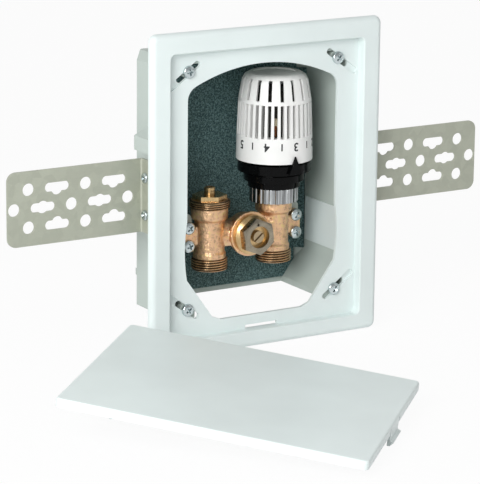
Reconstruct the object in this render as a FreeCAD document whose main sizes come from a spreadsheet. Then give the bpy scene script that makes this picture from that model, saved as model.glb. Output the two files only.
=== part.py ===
import FreeCAD, Part
import math
import os

import Sketcher
from FreeCAD import Placement, Rotation, Vector

# Flush-mounted return temperature limiter: a twin-leg valve in a wall box with an adjustable front frame.
# X runs to the right, -Y out of the wall and Z up. The origin is the middle of the box's rear face.

DRIVING_SIZES = {
    # Clearances
    "fit_gap": 0.06,
    "running_gap": 0.3,
    "touch_gap": 0.1,
    # Wall box
    "box_width": 145.0,
    "box_height": 185.0,
    "box_depth": 59.4,
    "box_wall": 2.3,
    "box_rear_chamfer": 8.0,
    "box_top_chamfer": 6.0,
    "box_mouth_half": 54.0,
    "box_web_rise": 21.4,
    "boss_radius": 4.4,
    "post_radius": 4.6,
    "post_rise": 6.0,
    "pilot_depth": 46.0,
    "hood_reach": 18.5,
    "hood_top": 49.2,
    "hood_drop": 10.0,
    "hood_base": 29.0,
    "hood_depth": 22.0,
    "hood_skin": 2.0,
    "hood_roof": 3.0,
    "side_boss_radius": 5.0,
    "side_pad_top": -27.0,
    "side_pad_height": 33.0,
    "side_pad_raise": 1.2,
    # Insulation mat
    "mat_thickness": 2.7,
    "mat_edge_gap": 0.4,
    "mat_lip": 4.4,
    # Mounting rails
    "rail_end": 195.3,
    "rail_height": 52.4,
    "rail_middle": -1.4,
    "rail_sheet": 1.5,
    "rail_setback": 10.9,
    "rail_bend": 3.0,
    "rail_corner": 6.5,
    "rail_hole_radius": 4.45,
    "rail_row_step": 13.3,
    "rail_pitch": 44.1,
    "rail_first_slot": 113.0,
    "rail_slot_length": 20.0,
    "rail_slot_width": 6.5,
    "rail_bump_shift": 1.3,
    "rail_screw_radius": 2.0,
    "rail_screw_head": 3.7,
    "rail_screw_rise": 2.2,
    "rail_screw_length": 14.0,
    "rail_screw_setback": 5.4,
    # Front frame
    "frame_width": 190.0,
    "frame_height": 232.0,
    "frame_drop": 1.8,
    "frame_corner": 5.5,
    "frame_step": 4.8,
    "frame_rise": 5.0,
    "frame_skin": 2.3,
    "frame_outer_round": 4.4,
    "frame_inner_round": 1.0,
    "border_side": 15.4,
    "border_top": 14.7,
    "border_bottom": 12.3,
    "recess_corner": 4.0,
    "opening_half": 62.0,
    "opening_corner": 11.0,
    "opening_apex": 86.8,
    "opening_arch_radius": 131.0,
    "opening_bulge": 1.8,
    "opening_bulge_top": -21.8,
    "opening_bulge_end": -63.8,
    "opening_chamfer_low": -92.8,
    "opening_chamfer_half": 41.0,
    "opening_bottom": -95.7,
    "opening_bottom_half": 34.0,
    "screw_x": 61.5,
    "screw_z": 85.3,
    "frame_screw_radius": 1.75,
    "frame_screw_head": 4.6,
    "frame_screw_rise": 2.5,
    "frame_screw_length": 46.0,
    "slot_travel": 17.6,
    "slot_play": 0.6,
    "groove_reach": 18.0,
    "groove_radius": 2.4,
    "groove_depth": 1.5,
    "tab_slot_half": 13.4,
    "tab_slot_width": 2.7,
    # Cover plate, lying loose in front
    "cover_gap": 0.8,
    "cover_rim": 6.0,
    "cover_skin": 2.0,
    "cover_round": 1.6,
    "cover_corner": 3.4,
    "tongue_half": 9.0,
    "tongue_thickness": 2.2,
    "tongue_inset": 16.5,
    "tongue_reach": 35.4,
    "tab_half": 12.0,
    "tab_thickness": 1.8,
    "tab_reach": 14.0,
    "tab_hook": 2.4,
    "tab_hook_height": 3.8,
    "tab_notch": 3.0,
    "stud_radius": 2.5,
    "stud_x": 40.0,
    "stud_inset": 17.5,
    "stud_reach": 14.6,
    "cover_x": -114.7,
    "cover_y": -225.6,
    "cover_z": -91.7,
    "cover_yaw": 46.1,
    "cover_tilt": 6.5,
    "cover_lean": 2.2,
    # Twin-leg valve
    "valve_front": 33.5,
    "leg_x": 27.0,
    "spigot_end": -65.6,
    "spigot_length": 8.8,
    "spigot_radius": 13.2,
    "spigot_chamfer": 1.0,
    "neck_radius": 11.9,
    "neck_length": 4.5,
    "barrel_radius": 11.0,
    "bell_radius": 13.4,
    "bell_base": -29.8,
    "bell_flare": 2.0,
    "top_thread_radius": 14.9,
    "top_thread_base": -20.2,
    "top_thread_end": -14.3,
    "pipe_bore": 8.5,
    "seat_bore": 6.5,
    "seat_level": -48.0,
    "seat_depth": 4.0,
    "chamber_bore": 9.2,
    "insert_bore": 10.9,
    "insert_shelf": -28.0,
    "bridge_level": -40.5,
    "bridge_radius": 10.0,
    "bridge_bore": 6.0,
    "port_bore": 5.0,
    "port_radius": 14.0,
    "port_flange_radius": 16.4,
    "port_flange_back": 43.5,
    "port_face": 46.5,
    "port_thread_depth": 9.0,
    "ear_x": 45.0,
    "ear_upper": -33.6,
    "ear_lower": -46.8,
    "ear_radius": 4.2,
    "ear_thickness": 4.0,
    "ear_front": 35.2,
    "ear_screw_radius": 1.9,
    "ear_screw_head": 4.6,
    "ear_screw_rise": 2.4,
    "ear_screw_length": 16.0,
    # Shut-off insert in the left leg
    "shut_hex_flats": 21.6,
    "shut_hex_turn": 30.0,
    "shut_hex_top": -10.8,
    "shut_spindle_radius": 4.0,
    "shut_spindle_top": -5.3,
    "shut_spindle_foot": -26.0,
    "shut_socket_flats": 4.0,
    "shut_socket_depth": 4.0,
    "shut_groove_level": -7.6,
    "shut_groove_depth": 0.6,
    "shut_screw_radius": 2.2,
    "shut_screw_end": -41.0,
    "cone_radius": 8.2,
    "cone_neck_radius": 5.0,
    "cone_top": -32.5,
    "cone_shoulder": -37.5,
    "cone_base": -42.0,
    "cone_tip": -44.0,
    "cone_tip_radius": 5.8,
    # Vent plug in the front port
    "plug_collar_radius": 14.6,
    "plug_collar_rise": 2.6,
    "plug_cone_rise": 3.0,
    "plug_hex_flats": 23.8,
    "plug_hex_bevel": 1.8,
    "plug_face_cut": 1.2,
    "plug_turn": 98.0,
    "plug_face": 58.9,
    "plug_cup_radius": 8.0,
    "plug_cup_depth": 4.8,
    "plug_shank_depth": 8.6,
    "plug_outlet_radius": 0.9,
    "plug_outlet_offset": 9.3,
    "vent_head_radius": 4.35,
    "vent_head_rise": 3.2,
    "vent_slot_width": 1.3,
    "vent_slot_turn": 40.0,
    "vent_slot_depth": 1.4,
    "vent_shank_radius": 2.2,
    "vent_shank_length": 9.0,
    # Regulating insert in the right leg
    "bonnet_hex_flats": 19.0,
    "bonnet_top": -10.0,
    "bonnet_chamber_radius": 6.0,
    "bonnet_chamber_floor": -24.0,
    "gland_base": -13.8,
    "gland_top": -8.2,
    "pin_radius": 2.4,
    "pin_top": -6.0,
    "pin_foot": -40.0,
    "pin_collar_radius": 5.2,
    "pin_collar_base": -16.9,
    "pin_collar_height": 1.5,
    "pin_plate_radius": 6.6,
    "pin_plate_height": 2.0,
    "disc_radius": 8.0,
    "disc_height": 4.2,
    "spring_radius": 4.1,
    "spring_wire": 0.42,
    "spring_turns": 4.0,
    # Regulator head
    "nut_radius": 17.8,
    "nut_base": -20.6,
    "nut_top": -10.1,
    "nut_lip": 3.0,
    "nut_lip_radius": 13.2,
    "nut_flute_radius": 1.3,
    "base_flange_radius": 14.7,
    "base_flange_height": 1.1,
    "base_bore": 11.4,
    "base_neck_radius": 19.0,
    "base_neck_base": -9.8,
    "base_ring_base": -4.8,
    "base_ring_radius": 22.0,
    "base_ring_top": 0.2,
    "base_waist_radius": 20.4,
    "base_skirt_base": 2.2,
    "base_skirt_radius": 26.5,
    "base_skirt_top": 8.8,
    "base_tube_radius": 14.0,
    "base_tube_bore": 10.5,
    "base_tube_top": 23.6,
    "pointer_half": 5.4,
    "pointer_foot_half": 3.2,
    "pointer_base": 3.2,
    "pointer_tip": 16.5,
    "pointer_thickness": 1.6,
    "carrier_radius": 16.4,
    "carrier_foot": 12.0,
    "carrier_plate_base": 25.6,
    "carrier_plate_height": 1.6,
    "carrier_plate_radius": 20.0,
    "carrier_hub_radius": 6.2,
    "carrier_hub_foot": 11.0,
    "spring_rest_radius": 9.6,
    "spring_rest_height": 1.5,
    "rod_radius": 2.5,
    "rod_top": 22.6,
    "rod_collar_radius": 5.2,
    "rod_collar_level": 4.0,
    "sensor_radius": 17.0,
    "sensor_height": 34.8,
    "sensor_round": 3.0,
    "overtravel_radius": 8.0,
    "overtravel_wire": 0.8,
    "overtravel_turns": 4.0,
    "cap_base": 10.7,
    "cap_skirt_radius": 27.75,
    "cap_band_top": 29.2,
    "cap_band_radius": 27.4,
    "cap_waist_level": 54.2,
    "cap_waist_radius": 26.4,
    "cap_shoulder_level": 68.6,
    "cap_shoulder_radius": 23.9,
    "cap_crown_level": 72.0,
    "cap_crown_radius": 22.0,
    "cap_top": 73.8,
    "cap_top_radius": 18.8,
    "cap_wall": 2.1,
    "cap_ring_height": 1.4,
    "cap_slot_width": 2.5,
    "cap_slot_root": 3.3,
    "cap_fin_bore": 21.4,
    "cap_roof": 1.2,
    "cap_slot_top": 53.2,
    "cap_upper_slot_base": 55.8,
    "cap_upper_slot_top": 70.8,
    "cap_upper_slot_width": 2.7,
    "cap_disc_radius": 15.6,
    "cap_disc_height": 1.6,
    "cap_disc_sink": 0.6,
}
CAP_SLOTS = 36
CAP_UPPER_SLOTS = 18
NUT_FLUTES = 24
WIRE_SIDES = 8
RAIL_SLOTS = 2
# A pan head's face is smaller than its rim by this share.
SCREW_HEAD_TAPER = 0.72
# Round ends are drawn a little flatter than a half circle, so that their sketches solve.
FLAT_END = 1.02

document = FreeCAD.newDocument("limiter")
sheet = document.addObject("Spreadsheet::Sheet", "Sizes")


class Size:
    """A length that knows its value and the spreadsheet expression it comes from."""

    def __init__(self, value, text):
        self.value = value
        self.text = text

    def joined(self, other, sign, value):
        return Size(value, f"({self.text} {sign} {size(other).text})")

    def __add__(self, other):
        return self.joined(other, "+", self.value + size(other).value)

    def __sub__(self, other):
        return self.joined(other, "-", self.value - size(other).value)

    def __mul__(self, other):
        return self.joined(other, "*", self.value * size(other).value)

    def __truediv__(self, other):
        return self.joined(other, "/", self.value / size(other).value)

    def __neg__(self):
        return Size(-self.value, f"(0 - {self.text})")


def root(square):
    return Size(math.sqrt(square.value), f"sqrt({square.text})")


def size(number):
    """A plain number as a Size."""
    if isinstance(number, Size):
        return number
    return Size(float(number), repr(float(number)))


class Sheet:
    """The spreadsheet's cells as attributes."""


def fill_sheet():
    cells = Sheet()
    for row, (alias, value) in enumerate(DRIVING_SIZES.items(), start=1):
        sheet.set(f"A{row}", alias)
        sheet.set(f"B{row}", repr(value))
        sheet.setAlias(f"B{row}", alias)
        setattr(cells, alias, Size(value, f"Sizes.{alias}"))
    return cells


S = fill_sheet()
document.recompute()


def bind(target, path, length):
    """Ties a property to the spreadsheet."""
    target.setExpression(path, size(length).text)


def place(target, x=0, y=0, z=0):
    for path, length in (("x", x), ("y", y), ("z", z)):
        bind(target, f"Placement.Base.{path}", length)


# Sketches and PartDesign features


def new_body(label, x=0, y=0, z=0):
    body = document.addObject("PartDesign::Body", label)
    body.Label = label
    place(body, x, y, z)
    return body


def new_sketch(body, plane, offset=0):
    """A sketch on one of the body's origin planes. On XZ_Plane its normal is -Y."""
    sketch = body.newObject("Sketcher::SketchObject", f"{body.Name}_outline")
    support = [item for item in body.Origin.OriginFeatures if item.Role == plane]
    sketch.AttachmentSupport = [(support[0], "")]
    sketch.MapMode = "FlatFace"
    bind(sketch, "AttachmentOffset.Base.z", offset)
    return sketch


def constrain(sketch, constraint, length):
    index = sketch.addConstraint(constraint)
    name = f"size{index}"
    sketch.renameConstraint(index, name)
    bind(sketch, f"Constraints.{name}", length)


def pin_point(sketch, item, end, point):
    """Holds a point of the sketch at spreadsheet lengths from the sketch's origin."""
    for kind, length, axis in (("DistanceX", point[0], -2), ("DistanceY", point[1], -1)):
        length = size(length)
        if abs(length.value) < 1e-9:
            sketch.addConstraint(Sketcher.Constraint("PointOnObject", item, end, axis))
        else:
            constrain(sketch, Sketcher.Constraint(kind, -1, 1, item, end, length.value), length)


def arc_between(start, end, radius, side):
    """The short arc from start to end that bulges to the left (side 1) or to the right (side -1)."""
    chord = end - start
    left = Vector(-chord.y, chord.x, 0).normalize()
    half = chord.Length / 2
    centre = (start + end) / 2 - left * side * math.sqrt(radius * radius - half * half)
    first, last = (end, start) if side > 0 else (start, end)
    angles = [math.atan2(point.y - centre.y, point.x - centre.x) for point in (first, last)]
    return Part.ArcOfCircle(Part.Circle(centre, Vector(0, 0, 1), radius), *angles)


def draw_outline(sketch, corners):
    """A closed outline. A corner holds x, y and, where an arc leaves it, the arc's radius and side."""
    points = [Vector(size(corner[0]).value, size(corner[1]).value, 0) for corner in corners]
    first = sketch.GeometryCount
    count = len(corners)
    ends = []
    for index, corner in enumerate(corners):
        start = points[index]
        end = points[(index + 1) % count]
        if len(corner) == 2:
            sketch.addGeometry(Part.LineSegment(start, end))
            ends.append((1, 2))
            continue
        sketch.addGeometry(arc_between(start, end, size(corner[2]).value, corner[3]))
        ends.append((2, 1) if corner[3] > 0 else (1, 2))
    for index, corner in enumerate(corners):
        follower = (index + 1) % count
        meeting = (first + index, ends[index][1], first + follower, ends[follower][0])
        sketch.addConstraint(Sketcher.Constraint("Coincident", *meeting))
        pin_point(sketch, first + index, ends[index][0], corner)
        if len(corner) > 2:
            radius = size(corner[2])
            constrain(sketch, Sketcher.Constraint("Radius", first + index, radius.value), radius)
    return sketch


def draw_rectangle(sketch, left, right, low, high):
    return draw_outline(sketch, [(left, low), (right, low), (right, high), (left, high)])


def draw_circle(sketch, x, y, radius):
    x, y, radius = size(x), size(y), size(radius)
    circle = sketch.addGeometry(Part.Circle(Vector(x.value, y.value, 0), Vector(0, 0, 1), radius.value))
    pin_point(sketch, circle, 3, (x, y))
    constrain(sketch, Sketcher.Constraint("Radius", circle, radius.value), radius)
    return sketch


def add_feature(body, kind, sketch, length, reverse=False, both=False):
    feature = body.newObject(f"PartDesign::{kind}", f"{body.Name}_{kind.lower()}")
    feature.Profile = sketch
    bind(feature, "Length", length)
    feature.Reversed = reverse
    feature.Midplane = both
    return feature


def pad(body, sketch, length, reverse=False, both=False):
    return add_feature(body, "Pad", sketch, length, reverse, both)


def pocket(body, sketch, length, reverse=False, both=False):
    return add_feature(body, "Pocket", sketch, length, reverse, both)


def edges_where(feature, wanted):
    document.recompute()
    return [f"Edge{number}" for number, edge in enumerate(feature.Shape.Edges, start=1) if wanted(edge)]


def dress(body, kind, feature, path, length, wanted):
    """A Fillet or Chamfer on the edges that the test picks."""
    names = edges_where(feature, wanted)
    dressed = body.newObject(f"PartDesign::{kind}", f"{body.Name}_{kind.lower()}")
    dressed.Base = (feature, names)
    bind(dressed, path, length)
    body.Tip = dressed
    return dressed


def round_edges(body, feature, radius, wanted):
    return dress(body, "Fillet", feature, "Radius", radius, wanted)


def bevel_edges(body, feature, length, wanted):
    return dress(body, "Chamfer", feature, "Size", length, wanted)


def is_along(edge, axis):
    """True for a straight edge that runs along the axis."""
    if not isinstance(edge.Curve, Part.Line):
        return False
    return abs(abs(edge.Curve.Direction.dot(axis)) - 1) < 1e-6


def middle_of(edge):
    return edge.valueAt((edge.FirstParameter + edge.LastParameter) / 2)


def lies_at(edge, coordinate, level):
    """True where the whole edge keeps one coordinate."""
    box = edge.BoundBox
    low = getattr(box, f"{coordinate}Min")
    high = getattr(box, f"{coordinate}Max")
    return abs(low - level.value) < 1e-4 and abs(high - level.value) < 1e-4


def turned(label, profile, x=0, y=0, z=0, facing_front=False, turn=0):
    """A turned piece: radius and height points, about Z or, facing the front, about -Y."""
    body = new_body(label, x, y, z)
    stand = Rotation(Vector(1, 0, 0), 90 if facing_front else 0)
    body.Placement = Placement(Vector(), stand * Rotation(Vector(0, 0, 1), size(turn).value))
    place(body, x, y, z)
    sketch = draw_outline(new_sketch(body, "XZ_Plane"), profile)
    revolution = body.newObject("PartDesign::Revolution", f"{label}_turn")
    revolution.Profile = sketch
    revolution.ReferenceAxis = (sketch, ["V_Axis"])
    revolution.Angle = 360
    return body


def ring_pattern(body, feature, count):
    """Repeats a feature about the body's Z axis."""
    axis = [item for item in body.Origin.OriginFeatures if item.Role == "Z_Axis"]
    pattern = body.newObject("PartDesign::PolarPattern", f"{feature.Name}_ring")
    pattern.Originals = [feature]
    pattern.Axis = (axis[0], [""])
    pattern.Angle = 360
    pattern.Occurrences = count
    body.Tip = pattern
    return pattern


def hexagon(flats):
    """The corner points of a hexagon with the given width across flats."""
    reach = flats / 2
    half_side = flats / (2 * math.sqrt(3))
    corner = half_side * 2
    return [
        (corner, 0), (half_side, reach), (-half_side, reach),
        (-corner, 0), (-half_side, -reach), (half_side, -reach),
    ]


# Part primitives and booleans


def cylinder(radius, height, x=0, y=0, z=0, axis=Vector(0, 0, 1)):
    item = document.addObject("Part::Cylinder", "round")
    bind(item, "Radius", radius)
    bind(item, "Height", height)
    item.Placement = Placement(Vector(), Rotation(Vector(0, 0, 1), axis))
    place(item, x, y, z)
    return item


def cone(radius, end_radius, height, x=0, y=0, z=0, axis=Vector(0, 0, 1)):
    item = document.addObject("Part::Cone", "taper")
    bind(item, "Radius1", radius)
    bind(item, "Radius2", end_radius)
    bind(item, "Height", height)
    item.Placement = Placement(Vector(), Rotation(Vector(0, 0, 1), axis))
    place(item, x, y, z)
    return item


def block(length, width, height, x, y, z):
    """A box whose x, y and z are its least corner."""
    item = document.addObject("Part::Box", "block")
    bind(item, "Length", length)
    bind(item, "Width", width)
    bind(item, "Height", height)
    place(item, x, y, z)
    return item


def fused(label, items):
    item = document.addObject("Part::MultiFuse", label)
    item.Label = label
    item.Shapes = items
    item.Refine = True
    return item


def shared(label, items):
    item = document.addObject("Part::MultiCommon", label)
    item.Label = label
    item.Shapes = items
    item.Refine = True
    return item


def grouped(label, items):
    item = document.addObject("Part::Compound", label)
    item.Label = label
    item.Links = items
    return item


def cut(label, base, tool):
    item = document.addObject("Part::Cut", label)
    item.Label = label
    item.Base = base
    item.Tool = tool
    item.Refine = True
    return item


FRONT = Vector(0, -1, 0)
RIGHT = Vector(1, 0, 0)
UP = Vector(0, 0, 1)
SIDES = (-1, 1)

# Places that several pieces share
half_box = S.box_width / 2
inner_half = half_box - S.box_wall
box_top = S.box_height / 2
inner_top = box_top - S.box_wall
web_foot = -inner_top
web_head = web_foot + S.box_web_rise
mat_front = S.box_wall + S.mat_thickness
frame_middle = -S.frame_drop
recess_width = S.frame_width - S.border_side * 2
recess_height = S.frame_height - S.border_top - S.border_bottom
recess_middle = frame_middle + (S.border_bottom - S.border_top) / 2
recess_low = recess_middle - recess_height / 2
pan_back = S.box_depth + S.running_gap
frame_floor = pan_back + S.frame_skin
frame_wall_line = pan_back + S.frame_step
frame_crest = frame_wall_line + S.frame_rise
rail_front = S.box_depth - S.rail_setback
rail_leg_front = S.box_depth - S.touch_gap * 2
rail_screw_front = S.box_depth - S.rail_screw_setback
rail_leg_x = half_box + S.hood_reach - S.rail_sheet
insert_fit_radius = S.insert_bore - S.fit_gap
ear_back = S.ear_front - S.ear_thickness
post_top = S.ear_upper + S.post_rise


# Wall box


def wall_box():
    body = new_body("wall_box")
    outline = draw_rectangle(new_sketch(body, "XZ_Plane"), -half_box, half_box, -box_top, box_top)
    outer = pad(body, outline, S.box_depth)
    chamfered = bevel_edges(
        body, outer, S.box_rear_chamfer,
        lambda edge: is_along(edge, UP) and lies_at(edge, "Y", size(0)))
    chamfered = bevel_edges(
        body, chamfered, S.box_top_chamfer,
        lambda edge: is_along(edge, FRONT) and middle_of(edge).z > 0)
    document.recompute()
    mouth = [
        f"Face{number}" for number, face in enumerate(chamfered.Shape.Faces, start=1)
        if face.BoundBox.YMax < -S.box_depth.value + 1e-4]
    shell = body.newObject("PartDesign::Thickness", "wall_box_shell")
    shell.Base = (chamfered, mouth)
    bind(shell, "Value", S.box_wall)
    shell.Reversed = True
    shell.Join = 1
    body.Tip = shell

    # The floor of the box is open between the two slanted webs.
    opening = new_sketch(body, "XZ_Plane", S.box_wall)
    draw_rectangle(opening, -S.box_mouth_half, S.box_mouth_half, -box_top - S.box_wall, web_foot)
    pocket(body, opening, S.box_depth, reverse=True)
    for side in SIDES:
        web = new_sketch(body, "XZ_Plane", S.box_wall)
        foot_x = S.box_mouth_half * side
        wall_x = inner_half * side
        draw_outline(web, [
            (foot_x, -box_top), (foot_x, web_foot + S.box_wall), (wall_x, web_head + S.box_wall),
            (wall_x, web_head - S.box_wall), (foot_x + S.box_wall * 2 * side, -box_top)])
        pad(body, web, S.box_depth - S.box_wall)

    # Screw bosses in the corners, posts behind the valve's ears and the bosses' pilot holes
    bosses = new_sketch(body, "XZ_Plane", S.box_wall)
    for x in (-S.screw_x, S.screw_x):
        for z in (-S.screw_z, S.screw_z):
            draw_circle(bosses, x, z, S.boss_radius)
    pad(body, bosses, S.box_depth - S.box_wall)
    posts = new_sketch(body, "XZ_Plane", S.box_wall)
    for x in (-S.ear_x, S.ear_x):
        draw_outline(posts, [
            (x - S.post_radius, S.ear_lower, S.post_radius * FLAT_END, -1),
            (x + S.post_radius, S.ear_lower),
            (x + S.post_radius, post_top, S.post_radius * FLAT_END, -1),
            (x - S.post_radius, post_top)])
    pad(body, posts, ear_back - S.box_wall)
    pilots = new_sketch(body, "XZ_Plane", S.box_depth)
    for x in (-S.screw_x, S.screw_x):
        for z in (-S.screw_z, S.screw_z):
            draw_circle(pilots, x, z, S.frame_screw_radius + S.running_gap)
    pocket(body, pilots, S.pilot_depth)
    ear_pilots = new_sketch(body, "XZ_Plane", ear_back)
    for x in (-S.ear_x, S.ear_x):
        for z in (S.ear_upper, S.ear_lower):
            draw_circle(ear_pilots, x, z, S.ear_screw_radius + S.fit_gap)
    pocket(body, ear_pilots, S.ear_screw_length)

    # On each side: a hood over the rail's leg, two bosses for its screws and a raised pad inside
    for side in SIDES:
        wall_x = half_box * side
        root_x = (half_box - S.box_wall / 2) * side
        face_x = (half_box + S.hood_reach) * side
        inside_x = (half_box + S.hood_reach - S.hood_skin) * side
        hood = new_sketch(body, "XZ_Plane", S.box_depth - S.hood_depth)
        draw_outline(hood, [
            (root_x, S.hood_top), (wall_x, S.hood_top), (face_x, S.hood_top - S.hood_drop),
            (face_x, S.hood_base),
            (inside_x, S.hood_base), (inside_x, S.hood_top - S.hood_drop - S.hood_skin),
            (wall_x, S.hood_top - S.hood_roof), (root_x, S.hood_top - S.hood_roof)])
        pad(body, hood, S.hood_depth)
        reach = rail_leg_x - half_box + S.box_wall / 2
        side_bosses = new_sketch(body, "YZ_Plane", root_x)
        for z in (S.rail_middle - S.rail_row_step, S.rail_middle + S.rail_row_step):
            draw_circle(side_bosses, -rail_screw_front, z, S.side_boss_radius)
        pad(body, side_bosses, reach, reverse=side < 0)
        side_pilots = new_sketch(body, "YZ_Plane", rail_leg_x * side)
        for z in (S.rail_middle - S.rail_row_step, S.rail_middle + S.rail_row_step):
            draw_circle(side_pilots, -rail_screw_front, z, S.rail_screw_radius + S.fit_gap)
        pocket(body, side_pilots, S.rail_screw_length, reverse=side < 0)
        raised = new_sketch(body, "YZ_Plane", root_x)
        draw_rectangle(
            raised, -S.box_depth, -S.box_rear_chamfer - S.box_wall,
            S.side_pad_top - S.side_pad_height, S.side_pad_top)
        pad(body, raised, S.box_wall / 2 + S.side_pad_raise, reverse=side > 0)
    return body


def back_insulation():
    body = new_body("back_insulation")
    bevel_face = S.box_rear_chamfer + S.box_wall * (math.sqrt(2) - 1)
    half = half_box - bevel_face - S.mat_edge_gap
    top = inner_top - S.mat_edge_gap
    low = -box_top + S.mat_lip
    corner = S.box_top_chamfer + S.box_rear_chamfer
    outline = new_sketch(body, "XZ_Plane", S.box_wall)
    foot = S.box_mouth_half - S.mat_edge_gap
    web_slope = S.box_web_rise / (inner_half - S.box_mouth_half)
    shoulder = web_foot + S.box_wall + (half - S.box_mouth_half) * web_slope + S.mat_edge_gap
    draw_outline(outline, [
        (-foot, low), (foot, low), (half, shoulder), (half, top - corner), (half - corner, top),
        (corner - half, top), (-half, top - corner), (-half, shoulder)])
    pad(body, outline, S.mat_thickness)

    # The mat's side edges ride up on the slanted rear corners of the box.
    run = inner_half - S.mat_edge_gap - half
    lean = S.mat_thickness / math.sqrt(2)
    mitre = S.mat_thickness * math.tan(math.pi / 8)
    wing_low = shoulder + run * web_slope
    wing_top = top - corner - run
    wings = new_sketch(body, "XY_Plane", wing_low)
    for side in (-1, 1):
        draw_outline(wings, [
            (half * side, -S.box_wall), ((half + run) * side, -S.box_wall - run),
            ((half + run - lean) * side, -S.box_wall - run - lean), ((half - mitre) * side, -mat_front)])
    pad(body, wings, wing_top - wing_low)
    clear = new_sketch(body, "XZ_Plane", mat_front)
    reach = S.post_radius + S.mat_edge_gap
    for x in (-S.ear_x, S.ear_x):
        draw_outline(clear, [
            (x - reach, S.ear_lower, reach * FLAT_END, -1), (x + reach, S.ear_lower),
            (x + reach, post_top, reach * FLAT_END, -1), (x - reach, post_top)])
    pocket(body, clear, S.mat_thickness)
    return body


# Mounting rails


def mounting_rail(label, side):
    body = new_body(label)
    end_x = S.rail_end * side
    flat_x = (rail_leg_x + S.rail_bend) * side
    inner_x = rail_leg_x * side
    outer_x = (rail_leg_x + S.rail_sheet) * side
    back = rail_front - S.rail_sheet
    bend_y = -back - S.rail_bend
    profile = new_sketch(body, "XY_Plane", S.rail_middle)
    draw_outline(profile, [
        (end_x, -back), (flat_x, -back, S.rail_bend, -side), (inner_x, bend_y),
        (inner_x, -rail_leg_front), (outer_x, -rail_leg_front),
        (outer_x, bend_y, S.rail_bend - S.rail_sheet, side), (flat_x, -rail_front),
        (end_x, -rail_front)])
    sheet_metal = pad(body, profile, S.rail_height, both=True)
    round_edges(
        body, sheet_metal, S.rail_corner,
        lambda edge: is_along(edge, FRONT) and abs(middle_of(edge).x) > S.rail_end.value - 1)

    # Round holes and the round bumps of the slots, then the slots themselves
    rounds = new_sketch(body, "XZ_Plane", rail_front)
    slots = new_sketch(body, "XZ_Plane", rail_front)
    half_pitch = S.rail_pitch / 2
    for row in (-1, 0, 1):
        z = S.rail_middle + S.rail_row_step * row
        start = S.rail_first_slot if row else S.rail_first_slot + half_pitch / 2
        bump = z - S.rail_bump_shift * row
        for index in range(RAIL_SLOTS):
            x = (start + S.rail_pitch * index) * side
            draw_circle(rounds, x, bump, S.rail_hole_radius)
            draw_circle(rounds, x + half_pitch * side, z, S.rail_hole_radius)
            draw_slot(slots, x, z, S.rail_slot_length, S.rail_slot_width)
        if not row:
            draw_circle(rounds, (start - half_pitch) * side, z, S.rail_hole_radius)
    pocket(body, rounds, S.rail_sheet * 2)
    pocket(body, slots, S.rail_sheet * 2)
    fixing = new_sketch(body, "YZ_Plane", (rail_leg_x + S.rail_sheet) * side)
    for z in (S.rail_middle - S.rail_row_step, S.rail_middle + S.rail_row_step):
        draw_circle(fixing, -rail_screw_front, z, S.rail_screw_radius + S.running_gap)
    pocket(body, fixing, S.rail_sheet * 2, reverse=side < 0)
    return body


def draw_slot(sketch, x, z, length, width):
    """A level slot with round ends."""
    reach = length / 2 - width / 2
    radius = width / 2
    lower = z - radius
    upper = z + radius
    return draw_outline(sketch, [
        (x - reach, lower), (x + reach, lower, radius * FLAT_END, -1),
        (x + reach, upper), (x - reach, upper, radius * FLAT_END, -1)])


def pan_screw(radius, length, head_radius, rise, x, y, z, axis):
    """A screw whose head's underside is at the given place and whose head faces along the axis."""
    shank = cylinder(radius, length, x, y, z, axis * -1)
    head = cone(head_radius, head_radius * SCREW_HEAD_TAPER, rise, x, y, z, axis)
    return fused("screw", [shank, head])


def rail_screws():
    screws = []
    for side in SIDES:
        for step in SIDES:
            screws.append(pan_screw(
                S.rail_screw_radius, S.rail_screw_length - S.rail_sheet, S.rail_screw_head, S.rail_screw_rise,
                (rail_leg_x + S.rail_sheet) * side, -rail_screw_front,
                S.rail_middle + S.rail_row_step * step, RIGHT * side))
    return grouped("rail_screws", screws)


# Front frame


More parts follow.
